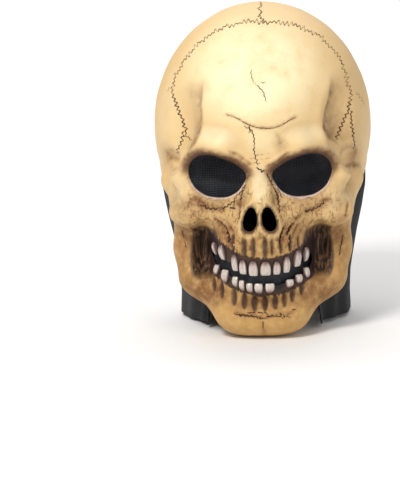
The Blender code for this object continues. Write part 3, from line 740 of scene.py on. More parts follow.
def outer_skin(trails):
    """The sculpted outside, denser on the face."""
    side, back = math.radians(95), math.pi
    turns = spaced([(-back, -side, 36), (-side, side, 212), (side, back, 36)])[:-1]
    shares = spaced([(0, 0.1, 26), (0.1, 0.52, 88), (0.52, 0.97, 112), (0.97, 0.995, 5)])
    points, faces = ray_skin(turns, shares, 0.0)
    mesh = mesh_of("outer_skin", points, faces)
    refine(mesh, trails, {"crack": 4.0, "crease": 1.6, "flute": 1.8}, 2.6 * MM)
    refine(mesh, trails, {"crack": 1.8}, 2.2 * MM)
    points = points_of(mesh)
    for _ in range(2):
        points -= skin_normals(points) * head_form(points)[:, None]
    points += skin_normals(points) * relief(points, trails)[:, None]
    set_points(mesh, points)
    return mesh


def inner_skin():
    """The plain inside of the latex."""
    turns = spaced([(-math.pi, math.pi, 140)])[:-1]
    shares = spaced([(0, 0.1, 12), (0.1, 0.52, 66), (0.52, 0.98, 30)])
    points, faces = ray_skin(turns, shares, -1.12 * LATEX_WALL)
    return mesh_of("inner_skin", points, [face[::-1] for face in faces])


def joined(name, first, second):
    """One mesh of two, the second with material 1."""
    builder = bmesh.new()
    builder.from_mesh(first)
    count = len(builder.faces)
    builder.from_mesh(second)
    builder.faces.ensure_lookup_table()
    for face in builder.faces[count:]:
        face.material_index = 1
    mesh = bpy.data.meshes.new(name)
    builder.to_mesh(mesh)
    builder.free()
    return mesh


# From a curve's own plane to the mask's front view and to its side view.
FRONT_VIEW = Matrix.Rotation(math.pi / 2, 4, "X")
SIDE_VIEW = Matrix.Rotation(math.pi / 2, 4, "Z") @ FRONT_VIEW


def cutter(name, outline, half_thickness, place, material, sharp=(), resolution=10):
    """A prism with a closed outline, rounded but at its sharp corners, set in its place."""
    curve = bpy.data.curves.new(name, "CURVE")
    curve.dimensions = "2D"
    curve.fill_mode = "BOTH"
    curve.extrude = half_thickness
    curve.resolution_u = resolution
    spline = curve.splines.new("BEZIER")
    spline.bezier_points.add(len(outline) - 1)
    for i, (point, (across, up)) in enumerate(zip(spline.bezier_points, outline)):
        point.co = (across, up, 0)
        point.handle_left_type = point.handle_right_type = "VECTOR" if i in sharp else "AUTO"
    spline.use_cyclic_u = True
    guide = linked(name, curve)
    bpy.context.view_layer.update()
    graph = bpy.context.evaluated_depsgraph_get()
    mesh = bpy.data.meshes.new_from_object(guide.evaluated_get(graph))
    bpy.data.objects.remove(guide)
    mesh.transform(place)
    with edited(mesh) as builder:
        bmesh.ops.remove_doubles(builder, verts=builder.verts, dist=LATEX_WALL / 100)
        bmesh.ops.recalc_face_normals(builder, faces=builder.faces)
    mesh.materials.clear()
    mesh.materials.append(material)
    return linked(name, mesh)


def face_cutter(name, outline, half_thickness, material):
    """A cutter whose outline is seen from the front, running through the face."""
    place = Matrix.Translation((0, -HALF_DEPTH, 0)) @ FRONT_VIEW
    return cutter(name, outline, half_thickness, place, material)


def eye_cutter(side, material):
    outline = [
        (side * (EYE_SPREAD - x / 100 * EYE_HALF_WIDTH), EYE_HEIGHT + z / 100 * EYE_HALF_HEIGHT)
        for x, z in EYE_OUTLINE
    ]
    return face_cutter("eye_cutter", outline, HALF_DEPTH / 2, material)


def nostril_cutter(side, material):
    """A pear, narrow at the top, leaning out at its foot."""
    outline = []
    for turn in np.linspace(0, 2 * math.pi, 10, endpoint=False):
        x = NOSTRIL_HALF_WIDTH * math.cos(turn) * (1 - 0.22 * math.sin(turn))
        z = NOSTRIL_HALF_HEIGHT * math.sin(turn)
        x -= z * math.tan(NOSTRIL_LEAN)
        outline.append((side * (NOSTRIL_SPREAD + x), NOSTRIL_HEIGHT + z))
    return face_cutter("nostril_cutter", outline, HALF_DEPTH / 5, material)


def mouth_cutter(material):
    shares = np.linspace(-0.94, 0.94, 7)
    half = MOUTH_HALF_OPENING * np.sqrt(1 - 0.35 * shares**2)
    x = shares * MOUTH_HALF_WIDTH
    middle = smile(x, MOUTH_HEIGHT)
    upper = list(zip(x, middle + half))
    lower = list(zip(x, middle - half))
    left, right = MOUTH_HALF_WIDTH, -MOUTH_HALF_WIDTH
    outline = upper + [(left, smile(left, MOUTH_HEIGHT))]
    outline += lower[::-1] + [(right, smile(right, MOUTH_HEIGHT))]
    return face_cutter("mouth_cutter", outline, HALF_DEPTH / 2, material)


def rim_cutter(material):
    """Everything below and behind the line where the latex ends."""
    corners = RIM_LINE + [(118, -80), (-66, -80)]
    outline = [(y / 100 * HALF_DEPTH, z / 100 * HEIGHT) for y, z in corners]
    sharp = (0, *range(len(RIM_LINE) - 1, len(outline)))
    return cutter("rim_cutter", outline, 2 * HALF_WIDTH, SIDE_VIEW, material, sharp, 8)


def cut_out(mesh, cutters):
    """The mesh with the cutters taken out of it."""
    body = linked("uncut", mesh)
    for tool in cutters:
        boolean = body.modifiers.new(tool.name, "BOOLEAN")
        boolean.operation = "DIFFERENCE"
        boolean.solver = "MANIFOLD"
        boolean.material_mode = "TRANSFER"
        boolean.object = tool
    bpy.context.view_layer.update()
    graph = bpy.context.evaluated_depsgraph_get()
    cut = bpy.data.meshes.new_from_object(body.evaluated_get(graph))
    for obj in [body] + cutters:
        bpy.data.objects.remove(obj)
    return cut


def store(mesh, name, values):
    layer = mesh.attributes.new(name, "FLOAT", "POINT")
    layer.data.foreach_set("value", np.asarray(values, np.float32))


def lid_distance(mesh, points):
    """How far each point is from the cut edge of an eye opening."""
    tree = kdtree.KDTree(len(points))
    for face in mesh.polygons:
        if mesh.materials[face.material_index].name == "cut_latex_eye":
            for corner in face.vertices:
                tree.insert(points[corner], corner)
    tree.balance()
    return np.array([tree.find(point)[2] for point in points])


def paint(mesh, trails):
    """Writes how much of each paint, painted shade and painted highlight every corner of the latex
    carries.
    """
    points = points_of(mesh)
    normals = skin_normals(points)
    bare = points - normals * head_form(points)[:, None]
    x, z = bare[:, 0], bare[:, 2]
    front = smooth(-0.15 * HALF_DEPTH, -0.4 * HALF_DEPTH, bare[:, 1])
    amounts = {paint_name: np.zeros(len(x)) for paint_name in SPRAYS}
    for paint_name, rows in SPRAYS.items():
        for spray in (Spray(*row) for row in rows):
            across = (x / MM - spray.centre[0]) / spray.radii[0]
            up = (z / MM - spray.centre[1]) / spray.radii[1]
            amount = spray.strength * smooth(1.35, 0.35, np.hypot(across, up)) * front
            amounts[paint_name] = 1 - (1 - amounts[paint_name]) * (1 - amount)
    # cavity is painted shade in the recesses, ridge painted highlight on the ridges, from how open
    # the skin is.
    near, far = 3 * MM, 9 * MM
    open_near = head_form(bare + normals * near) / near
    open_far = head_form(bare + normals * far) / far
    cavity = np.clip(1.0 - 0.5 * (open_near + open_far), 0, 1)
    ridge = np.clip(1.0 + head_form(bare - normals * near) / near, 0, 1)
    crack, crack_depth = trails["crack"].near(bare)
    crease, crease_depth = trails["crease"].near(bare)
    flute, _ = trails["flute"].near(bare)
    # line is painted shade along the creases' folds.
    pressed = np.clip(crease_depth / (1.2 * MM), 0, 1)
    line = np.exp(-((crease / 1.15) ** 2)) * pressed
    lid = lid_distance(mesh, points)
    seen = lid_distance(mesh, points * (1, 0, 1))
    # socket is painted shade in the socket above each eye opening and round its cut edge; brow_shade
    # paints the shade under the brow.
    above = smooth(EYE_HEIGHT - 4 * MM, EYE_HEIGHT + 10 * MM, z) * front
    socket = ease(9.5, 4.0, seen) * above + 0.5 * ease(3.0, 1, lid)
    store(mesh, "brow_shade", ease(7.0, 2.0, seen) * above)
    # brown: brown paint from the sprays, with the painted shade of creases, recesses and sockets
    # added.
    brown = amounts["brown"] + 0.75 * line + 1.3 * cavity * front + 1.1 * socket
    # Painted shade on the temple side of each ledge's drop.
    for ledge in LEDGES:
        outside, along = ledge_share(bare, ledge)
        stain = ease(-2, 1.5, outside) * np.exp(-outside / (ledge.spread * MM))
        brown += ledge.stain * np.clip(stain, 0, 1) * along
    amounts["brown"] = np.clip(brown, 0, 1)
    # pale: pale paint and painted highlight, with painted highlight added on the ridges higher up.
    store(mesh, "pale", np.clip(amounts["pale"] + 0.5 * ridge * (z > 100 * MM), 0, 1))
    store(mesh, "brown", amounts["brown"])
    store(mesh, "black", amounts["black"])
    store(mesh, "ochre", ease(168, 70, z))
    store(mesh, "hollow", hollow_share(bare))
    below = smooth(EYE_HEIGHT - 2 * MM, EYE_HEIGHT - 10 * MM, z)
    store(mesh, "lid", ease(2.0, 0.6, lid) * below)
    store(mesh, "gum", gum_share(bare))
    store(mesh, "flute", np.exp(-((flute / 1.1) ** 3)))
    store(mesh, "crack", np.clip(1 - crack / 4, 0, 1) * np.clip(crack_depth / (0.25 * MM), 0, 1))
    store(mesh, "wrinkled", wrinkled_share(bare))
    store(mesh, "nostril", bell(nostril_share(bare), 1.42, 0.16) * front)
    store(mesh, "nostril_edge", smooth(1.24, 1.12, nostril_share(bare)) * front)


class Nodes:
    """Short ways to build a material's node tree."""

    def __init__(self, name):
        self.material = bpy.data.materials.new(name)
        self.material.use_nodes = True
        self.tree = self.material.node_tree
        self.shader = self.tree.nodes["Principled BSDF"]

    def node(self, kind, inputs, **settings):
        made = self.tree.nodes.new(kind)
        for key, value in settings.items():
            setattr(made, key, value)
        for key, value in inputs.items():
            self.put(made.inputs[key], value)
        return made

    def put(self, socket, value):
        if isinstance(value, bpy.types.NodeSocket):
            self.tree.links.new(value, socket)
        elif isinstance(value, tuple) and len(value) == 3 and socket.type == "RGBA":
            socket.default_value = (*value, 1)
        else:
            socket.default_value = value

    def amount(self, name):
        return self.node("ShaderNodeAttribute", {}, attribute_name=name).outputs["Fac"]

    def math(self, operation, a, b=0.0):
        return self.node("ShaderNodeMath", {0: a, 1: b}, operation=operation).outputs[0]

    def times(self, a, b):
        return self.math("MULTIPLY", a, b)

    def step(self, low, high, value):
        """0 at low and 1 at high, eased between."""
        inputs = {"Value": value, "From Min": low, "From Max": high}
        made = self.node("ShaderNodeMapRange", inputs, interpolation_type="SMOOTHSTEP")
        return made.outputs["Result"]

    def mix(self, share, a, b):
        made = self.node("ShaderNodeMix", {}, data_type="RGBA")
        self.put(made.inputs[0], share)
        self.put(made.inputs[6], a)
        self.put(made.inputs[7], b)
        return made.outputs[2]

    def over(self, colour, paint, amount, most=None):
        """The colour with an amount of paint over it, or a share of that amount."""
        return self.mix(self.times(amount, most) if most else amount, colour, paint)

    def place(self, stretch=(1, 1, 1)):
        """Object coordinates in millimetres, stretched."""
        spot = self.node("ShaderNodeTexCoord", {}).outputs["Object"]
        scale = tuple(s / MM for s in stretch)
        made = self.node("ShaderNodeMapping", {"Vector": spot, "Scale": scale})
        return made.outputs["Vector"]

    def noise(self, size, detail=4.0, stretch=(1, 1, 1), rough=0.55):
        """Noise from 0 to 1 with features of a size in millimetres."""
        inputs = {
            "Vector": self.place(stretch), "Scale": 1 / size, "Detail": detail,
            "Roughness": rough,
        }
        return self.node("ShaderNodeTexNoise", inputs).outputs["Fac"]

    def bump(self, height, depth, strength=1.0, under=None):
        inputs = {"Height": height, "Distance": depth * MM, "Strength": strength}
        if under:
            inputs["Normal"] = under
        return self.node("ShaderNodeBump", inputs).outputs["Normal"]

    def finish(self, **inputs):
        names = {
            "colour": "Base Color", "roughness": "Roughness", "normal": "Normal",
            "specular": "Specular IOR Level", "sheen": "Sheen Weight",
            "sheen_roughness": "Sheen Roughness", "coat": "Coat Weight",
            "coat_roughness": "Coat Roughness", "subsurface": "Subsurface Weight",
        }
        for key, value in inputs.items():
            self.put(self.shader.inputs[names[key]], value)
        return self.material


BONE = (0.72, 0.50, 0.235)
# PALE serves for pale paint and for painted highlight.
PALE = (0.92, 0.79, 0.50)
OCHRE = (0.56, 0.325, 0.105)
# BROWN serves for brown paint and for painted shade in creases, recesses, sockets and the eye's upper
# cut edge.
BROWN = (0.185, 0.075, 0.026)
DARK = (0.022, 0.010, 0.006)
STREAK = (0.20, 0.105, 0.048)
VIOLET = (0.024, 0.010, 0.011)
SOCKET = (0.075, 0.033, 0.018)
ROOT_BROWN = (0.050, 0.022, 0.014)
INK = (0.018, 0.008, 0.006)
SOOT = (0.006, 0.009, 0.010)
RAW_LATEX = (0.80, 0.66, 0.48)
AGED_LATEX = (0.62, 0.47, 0.30)
CUT_EDGE = (0.82, 0.62, 0.55)
TOOTH_WHITE = (0.66, 0.58, 0.51)
TOOTH_GREY = (0.40, 0.32, 0.29)
TOOTH_MIDDLE = (0.34, 0.17, 0.17)
TOOTH_ROOT = (0.09, 0.035, 0.036)
TOOTH_FLANK = (0.07, 0.028, 0.03)
MESH_BLACK = (0.012, 0.014, 0.018)
MESH_GREY = (0.040, 0.045, 0.056)
KNIT_BLACK = (0.005, 0.005, 0.006)
KNIT_GREY = (0.013, 0.013, 0.015)
FLOOR_GREY = (0.86, 0.86, 0.86)
FLOOR_WHITE = (0.88, 0.88, 0.88)

# Where a cut edge changes colour, below and above the middle of the eyes, and how raggedly.
EDGE_FADE = (4, 8)
EDGE_RAGGED = 4.0
# The knit: ribs round the neck in a full turn over 2 pi, and rows of stitches per millimetre.
KNIT_RIBS = 420.0
KNIT_ROWS = 5.2


def painted_latex():
    """Bone paint, pale with a painted highlight on the brow and ochre on the jaw, with brown paint
    and painted shade in the lows.
    """
    n = Nodes("painted_latex")
    cloudy = n.noise(22, 3)
    mottle = n.noise(5.5, 5)
    fine = n.noise(1.3, 4)
    speck = n.step(0.62, 0.72, n.noise(1.6, 2))
    # Pale paint and painted highlight over the bone.
    colour = n.mix(n.times(n.amount("pale"), n.step(0.1, 0.6, cloudy)), BONE, PALE)
    colour = n.mix(n.times(n.amount("ochre"), n.step(-0.2, 0.7, mottle)), colour, OCHRE)
    # Brown paint and painted shade.
    brown_and_shade = n.times(n.amount("brown"), n.step(-0.1, 0.75, mottle))
    colour = n.over(colour, BROWN, brown_and_shade)
    wrinkled = n.amount("wrinkled")
    pits = n.times(wrinkled, n.step(0.46, 0.32, n.noise(2.0, 4, (1, 1, 0.7))))
    colour = n.over(colour, BROWN, pits, 0.6)
    contour = n.math("ABSOLUTE", n.math("SUBTRACT", n.noise(6.5, 4, (1, 1, 0.45)), 0.5))
    furrow = n.times(n.step(0.030, 0.006, contour), n.times(wrinkled, n.step(0.35, 0.6, mottle)))
    colour = n.over(colour, BROWN, furrow, 0.6)
    colour = n.over(colour, BROWN, speck, 0.10)
    hollow = n.amount("hollow")
    colour = n.over(colour, DARK, hollow)
    streaks = n.step(0.40, 0.66, n.noise(1.9, 4, (1, 0.5, 0.07)))
    colour = n.mix(n.times(n.times(hollow, streaks), 0.85), colour, STREAK)
    fringe = n.times(n.math("SUBTRACT", n.noise(2.2, 4, (1, 1, 0.22)), 0.5), 1.5)
    gum = n.step(0.22, 0.62, n.math("ADD", n.amount("gum"), fringe))
    gum = n.math("MINIMUM", gum, n.times(n.amount("gum"), 6.0))
    colour = n.over(colour, VIOLET, gum, 0.94)
    flute = n.times(n.amount("flute"), n.step(-0.4, 0.5, mottle))
    colour = n.over(colour, ROOT_BROWN, flute, 0.92)
    colour = n.over(colour, SOCKET, n.amount("brow_shade"), 0.85)
    colour = n.over(colour, CUT_EDGE, n.amount("lid"), 0.85)
    colour = n.over(colour, BONE, n.amount("nostril"), 0.75)
    colour = n.over(colour, ROOT_BROWN, n.amount("nostril_edge"), 0.9)
    ragged = n.math("ADD", n.amount("crack"), n.times(n.math("SUBTRACT", fine, 0.5), 0.22))
    line = n.step(0.66, 0.82, ragged)
    colour = n.mix(n.times(n.step(0.35, 0.8, ragged), 0.35), colour, BROWN)
    colour = n.over(colour, INK, line, 0.95)
    colour = n.over(colour, SOOT, n.amount("black"))
    # Rougher on the dark hollows and on the brown paint and painted shade.
    dark_paint_and_shade = n.math("MAXIMUM", hollow, n.amount("brown"))
    roughness = n.math("ADD", n.times(fine, 0.16), n.times(dark_paint_and_shade, 0.12))
    roughness = n.math("ADD", roughness, 0.42)
    skin = n.bump(n.noise(0.7, 3), 0.05, 0.5)
    skin = n.bump(furrow, -0.5, 1.0, skin)
    skin = n.bump(n.noise(2.2, 5), 0.30, n.math("ADD", n.times(wrinkled, 0.8), 0.12), skin)
    skin = n.bump(line, -0.5, 1.0, skin)
    return n.finish(colour=colour, roughness=roughness, normal=skin, specular=0.3)


def raw_latex():
    n = Nodes("raw_latex")
    colour = n.mix(n.noise(14, 4), RAW_LATEX, AGED_LATEX)
    return n.finish(colour=colour, roughness=0.6, normal=n.bump(n.noise(1.5, 4), 0.15, 0.6))


def cut_latex(name, low, high):
    """A cut edge: one colour below the middle of the eyes and another above it."""
    n = Nodes(name)
    spot = n.node("ShaderNodeSeparateXYZ", {0: n.place()}).outputs[2]
    middle = (EYE_HEIGHT - CROWN.z) / MM
    share = n.step(
        middle - EDGE_FADE[0], middle + EDGE_FADE[1],
        n.math("ADD", spot, n.times(n.noise(6, 3), EDGE_RAGGED)),
    )
    return n.finish(
        colour=n.mix(share, low, high), roughness=0.5, normal=n.bump(n.noise(0.9, 3), 0.12, 0.6)
    )


def tooth_enamel():
    """Grey-white enamel, purplish towards the gum and up the middle, with fine upright lines."""
    n = Nodes("tooth_enamel")
    root = n.amount("root")
    lines = n.noise(1.1, 4, (1, 1, 0.12))
    colour = n.mix(n.step(0.35, 0.75, lines), TOOTH_WHITE, TOOTH_GREY)
    colour = n.mix(n.times(n.amount("middle"), 0.45), colour, TOOTH_MIDDLE)
    colour = n.mix(n.step(0.58, 1.05, root), colour, TOOTH_ROOT)
    colour = n.mix(n.times(n.amount("flank"), 0.8), colour, TOOTH_FLANK)
    return n.finish(
        colour=colour, roughness=n.math("ADD", n.times(lines, 0.15), 0.20),
        normal=n.bump(lines, 0.12, 0.5), coat=0.35, coat_roughness=0.15,
    )


def black_mesh():
    n = Nodes("black_mesh")
    colour = n.mix(n.noise(9, 3), MESH_BLACK, MESH_GREY)
    return n.finish(colour=colour, roughness=0.38, specular=0.55)


def black_stretch():
    """Matt black knit: fine upright ribs crossed by rows of stitches."""
    n = Nodes("black_stretch")
    turn = n.node("ShaderNodeSeparateXYZ", {0: n.place()})
    around = n.math("ARCTAN2", turn.outputs[1], turn.outputs[0])
    ribs = n.math("SINE", n.times(around, KNIT_RIBS))
    rows = n.math("SINE", n.times(turn.outputs[2], KNIT_ROWS))
    knit = n.times(n.math("ADD", ribs, rows), 0.5)
    colour = n.mix(n.noise(12, 4), KNIT_BLACK, KNIT_GREY)
    return n.finish(
        colour=colour, roughness=0.85, normal=n.bump(knit, 0.25, 0.7), sheen=0.06,
        sheen_roughness=0.5,
    )


def floor_paint():
    n = Nodes("floor_paint")
    colour = n.mix(n.noise(300, 3), FLOOR_GREY, FLOOR_WHITE)
    return n.finish(colour=colour, roughness=0.9)


def skull_shell(trails):
    """The latex shell: outside and inside joined, then the openings cut through both."""
    # The eye's cut edge: pale latex below, and brown above as painted shade on the upper edge, which
    # faces down.
    pink_edge = cut_latex("cut_latex_eye", CUT_EDGE, BROWN)
    brown_edge = cut_latex("cut_latex_nostril", BROWN, BROWN)
    dark_edge = cut_latex("cut_latex_mouth", VIOLET, VIOLET)
    rim_edge = cut_latex("cut_latex_rim", RAW_LATEX, RAW_LATEX)
    whole = joined("skull_shell", outer_skin(trails), inner_skin())
    for material in (painted_latex(), raw_latex()):
        whole.materials.append(material)
    mesh = cut_out(whole, [
        *(eye_cutter(side, pink_edge) for side in (-1, 1)),
        *(nostril_cutter(side, brown_edge) for side in (-1, 1)),
        mouth_cutter(dark_edge), rim_cutter(rim_edge),
    ])
    paint(mesh, trails)
    shade_smooth(mesh)
    shell = new_object("latex_shell", mesh, [])
    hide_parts("skull_shell")
    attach(shell, "root")


MESH_PITCH = 1.2 * MM
THREAD_HALF_WIDTH = 0.30 * MESH_PITCH
THREAD_HALF_THICKNESS = 0.10 * MESH_PITCH
THREAD_LIFT = 0.12
MOUTH_PANEL_ROUND = 1.3  # the mouth panel's way round the jaw over its straight width


def strands(lines, normals):
    """Flat four-sided threads along rows of points."""
    count, length = lines.shape[:2]
    along = np.gradient(lines, axis=1)
    side = np.cross(along, normals)
    side /= np.linalg.norm(side, axis=2, keepdims=True)
    corners = np.stack([
        lines + side * THREAD_HALF_WIDTH, lines + normals * THREAD_HALF_THICKNESS,
        lines - side * THREAD_HALF_WIDTH, lines - normals * THREAD_HALF_THICKNESS,
    ], 2)
    points = corners.reshape(-1, 3)
    faces = []
    for k in range(count):
        base = k * length * 4
        end = base + 4 * (length - 1)
        faces += bands(length, 4, base=base)
        faces.append((base + 3, base + 2, base + 1, base))
        faces.append((end, end + 1, end + 2, end + 3))
    return points, faces


def woven(name, node, place, flat, material):
    """A woven panel of a flat size: threads both ways over place(u, v), over one, under one."""
    across, up = (int(side / MESH_PITCH) for side in flat)
    u, v = np.meshgrid(np.linspace(0, 1, across), np.linspace(0, 1, up))
    surface, normals = place(u.ravel(), v.ravel())
    surface, normals = (a.reshape(up, across, 3) for a in (surface, normals))
    over = np.where((np.indices((up, across)).sum(axis=0) % 2)[:, :, None], 1, -1)
    lift = normals * over * THREAD_LIFT * MESH_PITCH
    weft, weft_faces = strands(surface + lift, normals)
    warp, warp_faces = strands((surface - lift).transpose(1, 0, 2), normals.transpose(1, 0, 2))
    faces = weft_faces + [tuple(i + len(weft) for i in face) for face in warp_faces]
    mesh = mesh_of(name, np.concatenate([weft, warp]), faces)
    shade_smooth(mesh)
    panel = new_object(name, mesh, [material])
    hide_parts(node)
    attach(panel, "root")


def behind(x, z):
    """Places on the panel behind the latex at (x, z), and the skin's normals there."""
    skin = face_points(x, z)
    normals = skin_normals(skin)
    return skin - normals * (LATEX_WALL + PANEL_GAP + 0.4 * MESH_PITCH), normals


def eye_panel(side, word, material):
    half_width = EYE_HALF_WIDTH + EYE_PANEL_MARGIN
    half_height = EYE_HALF_HEIGHT + EYE_PANEL_MARGIN

    def place(u, v):
        s, t = 2 * u - 1, 2 * v - 1
        x = side * EYE_SPREAD + half_width * s * np.sqrt(1 - t * t / 2)
        z = EYE_HEIGHT + half_height * t * np.sqrt(1 - s * s / 2)
        return behind(x, z)

    flat = (2 * half_width, 2 * half_height)
    woven(f"eye_weave_{word}", f"eye_mesh_{word}", place, flat, material)


def mouth_panel(material):
    half_height = MOUTH_HALF_OPENING + MOUTH_PANEL_MARGIN
    half_width = MOUTH_HALF_WIDTH + MOUTH_PANEL_MARGIN / 2

    def place(u, v):
        x = half_width * (2 * u - 1)
        return behind(x, smile(x, MOUTH_HEIGHT) + half_height * (2 * v - 1))

    flat = (2 * MOUTH_PANEL_ROUND * half_width, 2 * half_height)
    woven("mouth_weave", "mouth_mesh", place, flat, material)


TOOTH_SIDES = 22
TOOTH_LEVELS = 15
TOOTH_ROUGH = 0.10 * MM
SEAT_REACH = 20 * MM


def tooth(row, edge_height, length, root_up, material):
    """One tooth: an arched crown from its cutting edge to its root, set on the gum."""
    sides, rings = TOOTH_SIDES, TOOTH_LEVELS
    x = row.across / 100 * MOUTH_HALF_WIDTH
    width = row.width / 100 * TOOTH_THICKNESS
    length *= row.length / 100
    edge = smile(x, edge_height) + row.lift / 100 * BITE_GAP
    centre = face_points(np.array([x]), np.array([edge + root_up * length / 2]))
    out = skin_normals(centre)[0] * (1, 1, 0)
    out /= np.linalg.norm(out)
    side = np.array((-out[1], out[0], 0))
    table = np.array(TOOTH_RINGS, float)
    along = (1 - np.cos(np.linspace(0, math.pi, rings))) * 50
    half = np.interp(along, table[:, 0], table[:, 1]) / 200 * width
    front = np.interp(along, table[:, 0], table[:, 2]) / 100 * TOOTH_THICKNESS
    for values in (half, front):
        values[1:-1] = (values[:-2] + 2 * values[1:-1] + values[2:]) / 4
    levels = np.tile(centre * (1, 1, 0), (rings, 1))
    levels[:, 2] = edge + root_up * along / 100 * length
    seat = np.full(rings, -1.0)
    for share in (-1, -0.5, 0, 0.5, 1):
        starts = levels + side * (half * share)[:, None] - out * SEAT_REACH
        hits = skin_hits(starts, np.tile(out, (rings, 1)), 2 * SEAT_REACH)
        seat = np.maximum(seat, (hits - levels) @ out)
    turns = np.linspace(0, math.pi, sides - 3)
    section = [(math.cos(turn), 0.25 + 0.75 * math.sin(turn) ** 0.6) for turn in turns]
    section += [(-0.7, -0.25), (0.0, -0.3), (0.7, -0.25)]
    points, root, middle, flank = [], [], [], []
    for i in range(rings):
        for s, t in section:
            points.append(levels[i] + side * (half[i] * s) + out * (seat[i] + front[i] * t))
            root.append(along[i] / 100)
            middle.append(math.exp(-((s / 0.5) ** 2)) * smooth(0.2, 0.8, along[i] / 100))
            flank.append(smooth(0.72, 0.99, abs(s)))
    points = np.array(points)
    points += out * TOOTH_ROUGH * grain(points, 1.8 * MM, 3, (1, 1, 0.25))[:, None]
    faces = bands(rings, sides)
    faces.append(tuple(range(sides))[::-1])
    faces.append(tuple(range((rings - 1) * sides, rings * sides)))
    mesh = mesh_of(row.name, points, faces)
    with edited(mesh) as builder:
        bmesh.ops.recalc_face_normals(builder, faces=builder.faces)
    for name, values in (("root", root), ("middle", middle), ("flank", flank)):
        store(mesh, name, values)
    shade_smooth(mesh)
    made = new_object("enamel_" + row.name, mesh, [material])
    rounding = made.modifiers.new("rounding", "SUBSURF")
    rounding.levels = rounding.render_levels = 1
    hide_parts(row.name)
    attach(made, "root")


def rim_y(z):
    """How far back the latex reaches at a height below the cheek arch."""
    line = np.array([row for row in RIM_LINE if row[0] < 0]) / 100
    return np.interp(z, line[:, 1] * HEIGHT, line[:, 0] * HALF_DEPTH)


def latex_tree():
    """The frame's latex shell, drawn from the chin up, for keeping the hood clear of it."""
    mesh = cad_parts["skull_shell"].data
    corners = [corner.co + CROWN for corner in mesh.vertices]
    return BVHTree.FromPolygons(corners, [tuple(face.vertices) for face in mesh.polygons])


def hood_skin(tree, u, v):
    """The hood's outside: u from -1 to 1 round the neck, v from hem to top."""
    rows = np.array(HOOD_ROWS, float)
    z = HOOD_HEM + (HOOD_TOP - HOOD_HEM) * v
    share = z / HEIGHT * 100
    front, side = (np.interp(share, rows[:, 0], rows[:, i] / 100 * HALF_WIDTH) for i in (1, 2))
    back = np.interp(share, rows[:, 0], rows[:, 3] / 100 * HALF_DEPTH)
    middle = HOOD_CENTRE_Y / 100 * HALF_DEPTH
    edge = np.maximum(rim_y(z), -HOOD_FRONT)
    half = 1 - np.abs(u)
    tuck = 1 - np.clip(half / TUCKED_SHARE, 0, 1)
    flank = np.clip((half - TUCKED_SHARE) / (SIDE_SHARE - TUCKED_SHARE), 0, 1)
    turn = np.clip((half - SIDE_SHARE) / (1 - SIDE_SHARE), 0, 1) * math.pi / 2
    x = (front + (side - front) * np.sin(flank * math.pi / 2)) * np.cos(turn) * np.sign(u)
    y = edge + (middle - edge) * flank - HOOD_TUCK * tuck + back * np.sin(turn)
    points = np.stack([x, y, z], 1)
    points[:, :2] *= room_share(tree, points)[:, None]
    return points


def room_share(tree, points):
    """The share of each point's distance from the head's axis that stays inside the latex."""
    probes = [(i * 3 * MM, j * 4 * MM) for i in (-1, 0, 1) for j in (-2, -1, 0, 1, 2)]
    shares = []
    for x, y, z in points:
        reach = math.hypot(x, y)
        across = Vector((-y, x, 0)) / reach
        room = reach
        for sideways, up in probes:
            start = Vector((0, 0, z + up)) + across * sideways
            distance_out = tree.ray_cast(start, Vector((x, y, 0)) / reach)[3]
            if distance_out:
                room = min(room, distance_out - HOOD_GAP)
        shares.append(room / reach)
    return np.array(shares)


# The hood's grid, and its folds: how many to a turn, how deep they are, and how far the whole
# cloth drapes inwards.
HOOD_GRID = (161, 61)
HOOD_FOLDS = 15
FOLD_DEPTH = 1.8
DRAPE_DEPTH = 1.0


def hood(material):
    """Black stretch cloth from inside the cranium's rim down to the neck, in soft folds."""
    across, up = HOOD_GRID
    u, v = np.meshgrid(np.linspace(-1, 1, across), np.linspace(0, 1, up))
    u, v = u.ravel(), v.ravel()
    points = hood_skin(latex_tree(), u, v)
    round_neck = np.arctan2(points[:, 0], points[:, 1])
    folds = 0.5 + 0.5 * np.sin(round_neck * HOOD_FOLDS + 2.2 * np.sin(v * 5 + round_neck * 3))
    drape = grain(points, 26 * MM, 3, (1, 1, 0.5))
    gathered = FOLD_DEPTH * folds * smooth(0.75, 0.15, v)
    inwards = (gathered + DRAPE_DEPTH * (0.6 + 0.5 * drape)) * MM
    reach = np.linalg.norm(points[:, :2], axis=1)
    points[:, :2] *= (1 - np.clip(inwards, 0, 4 * MM) / reach)[:, None]
    mesh = mesh_of("hood", points, bands(up, across, closed=False))
    with edited(mesh) as builder:
        outward = sum(
            face.normal.dot(face.calc_center_median() * Vector((1, 1, 0)))
            for face in builder.faces
        )
        if outward < 0:
            bmesh.ops.reverse_faces(builder, faces=builder.faces)
    shade_smooth(mesh)
    cloth = new_object("stretch_hood", mesh, [material])
    wall = cloth.modifiers.new("wall", "SOLIDIFY")
    wall.thickness = HOOD_WALL
    wall.offset = -1
    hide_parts("hood")
    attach(cloth, "root")


# The photograph's camera: how far round and above it stands, its roll, and where the point
# it is measured from falls in the picture.
CAMERA_TURN = math.radians(2.0)
CAMERA_RISE = math.radians(9.0)
CAMERA_ROLL = math.radians(1.15)
CAMERA_DISTANCE = 2.2
AIM = Vector((0, -20 * MM, 150 * MM)) - CROWN
AIM_PIXEL = (262.2, 159.6)
PICTURE = (400, 497)
FOCAL_PIXELS = 2444.4
SENSOR = 36.0


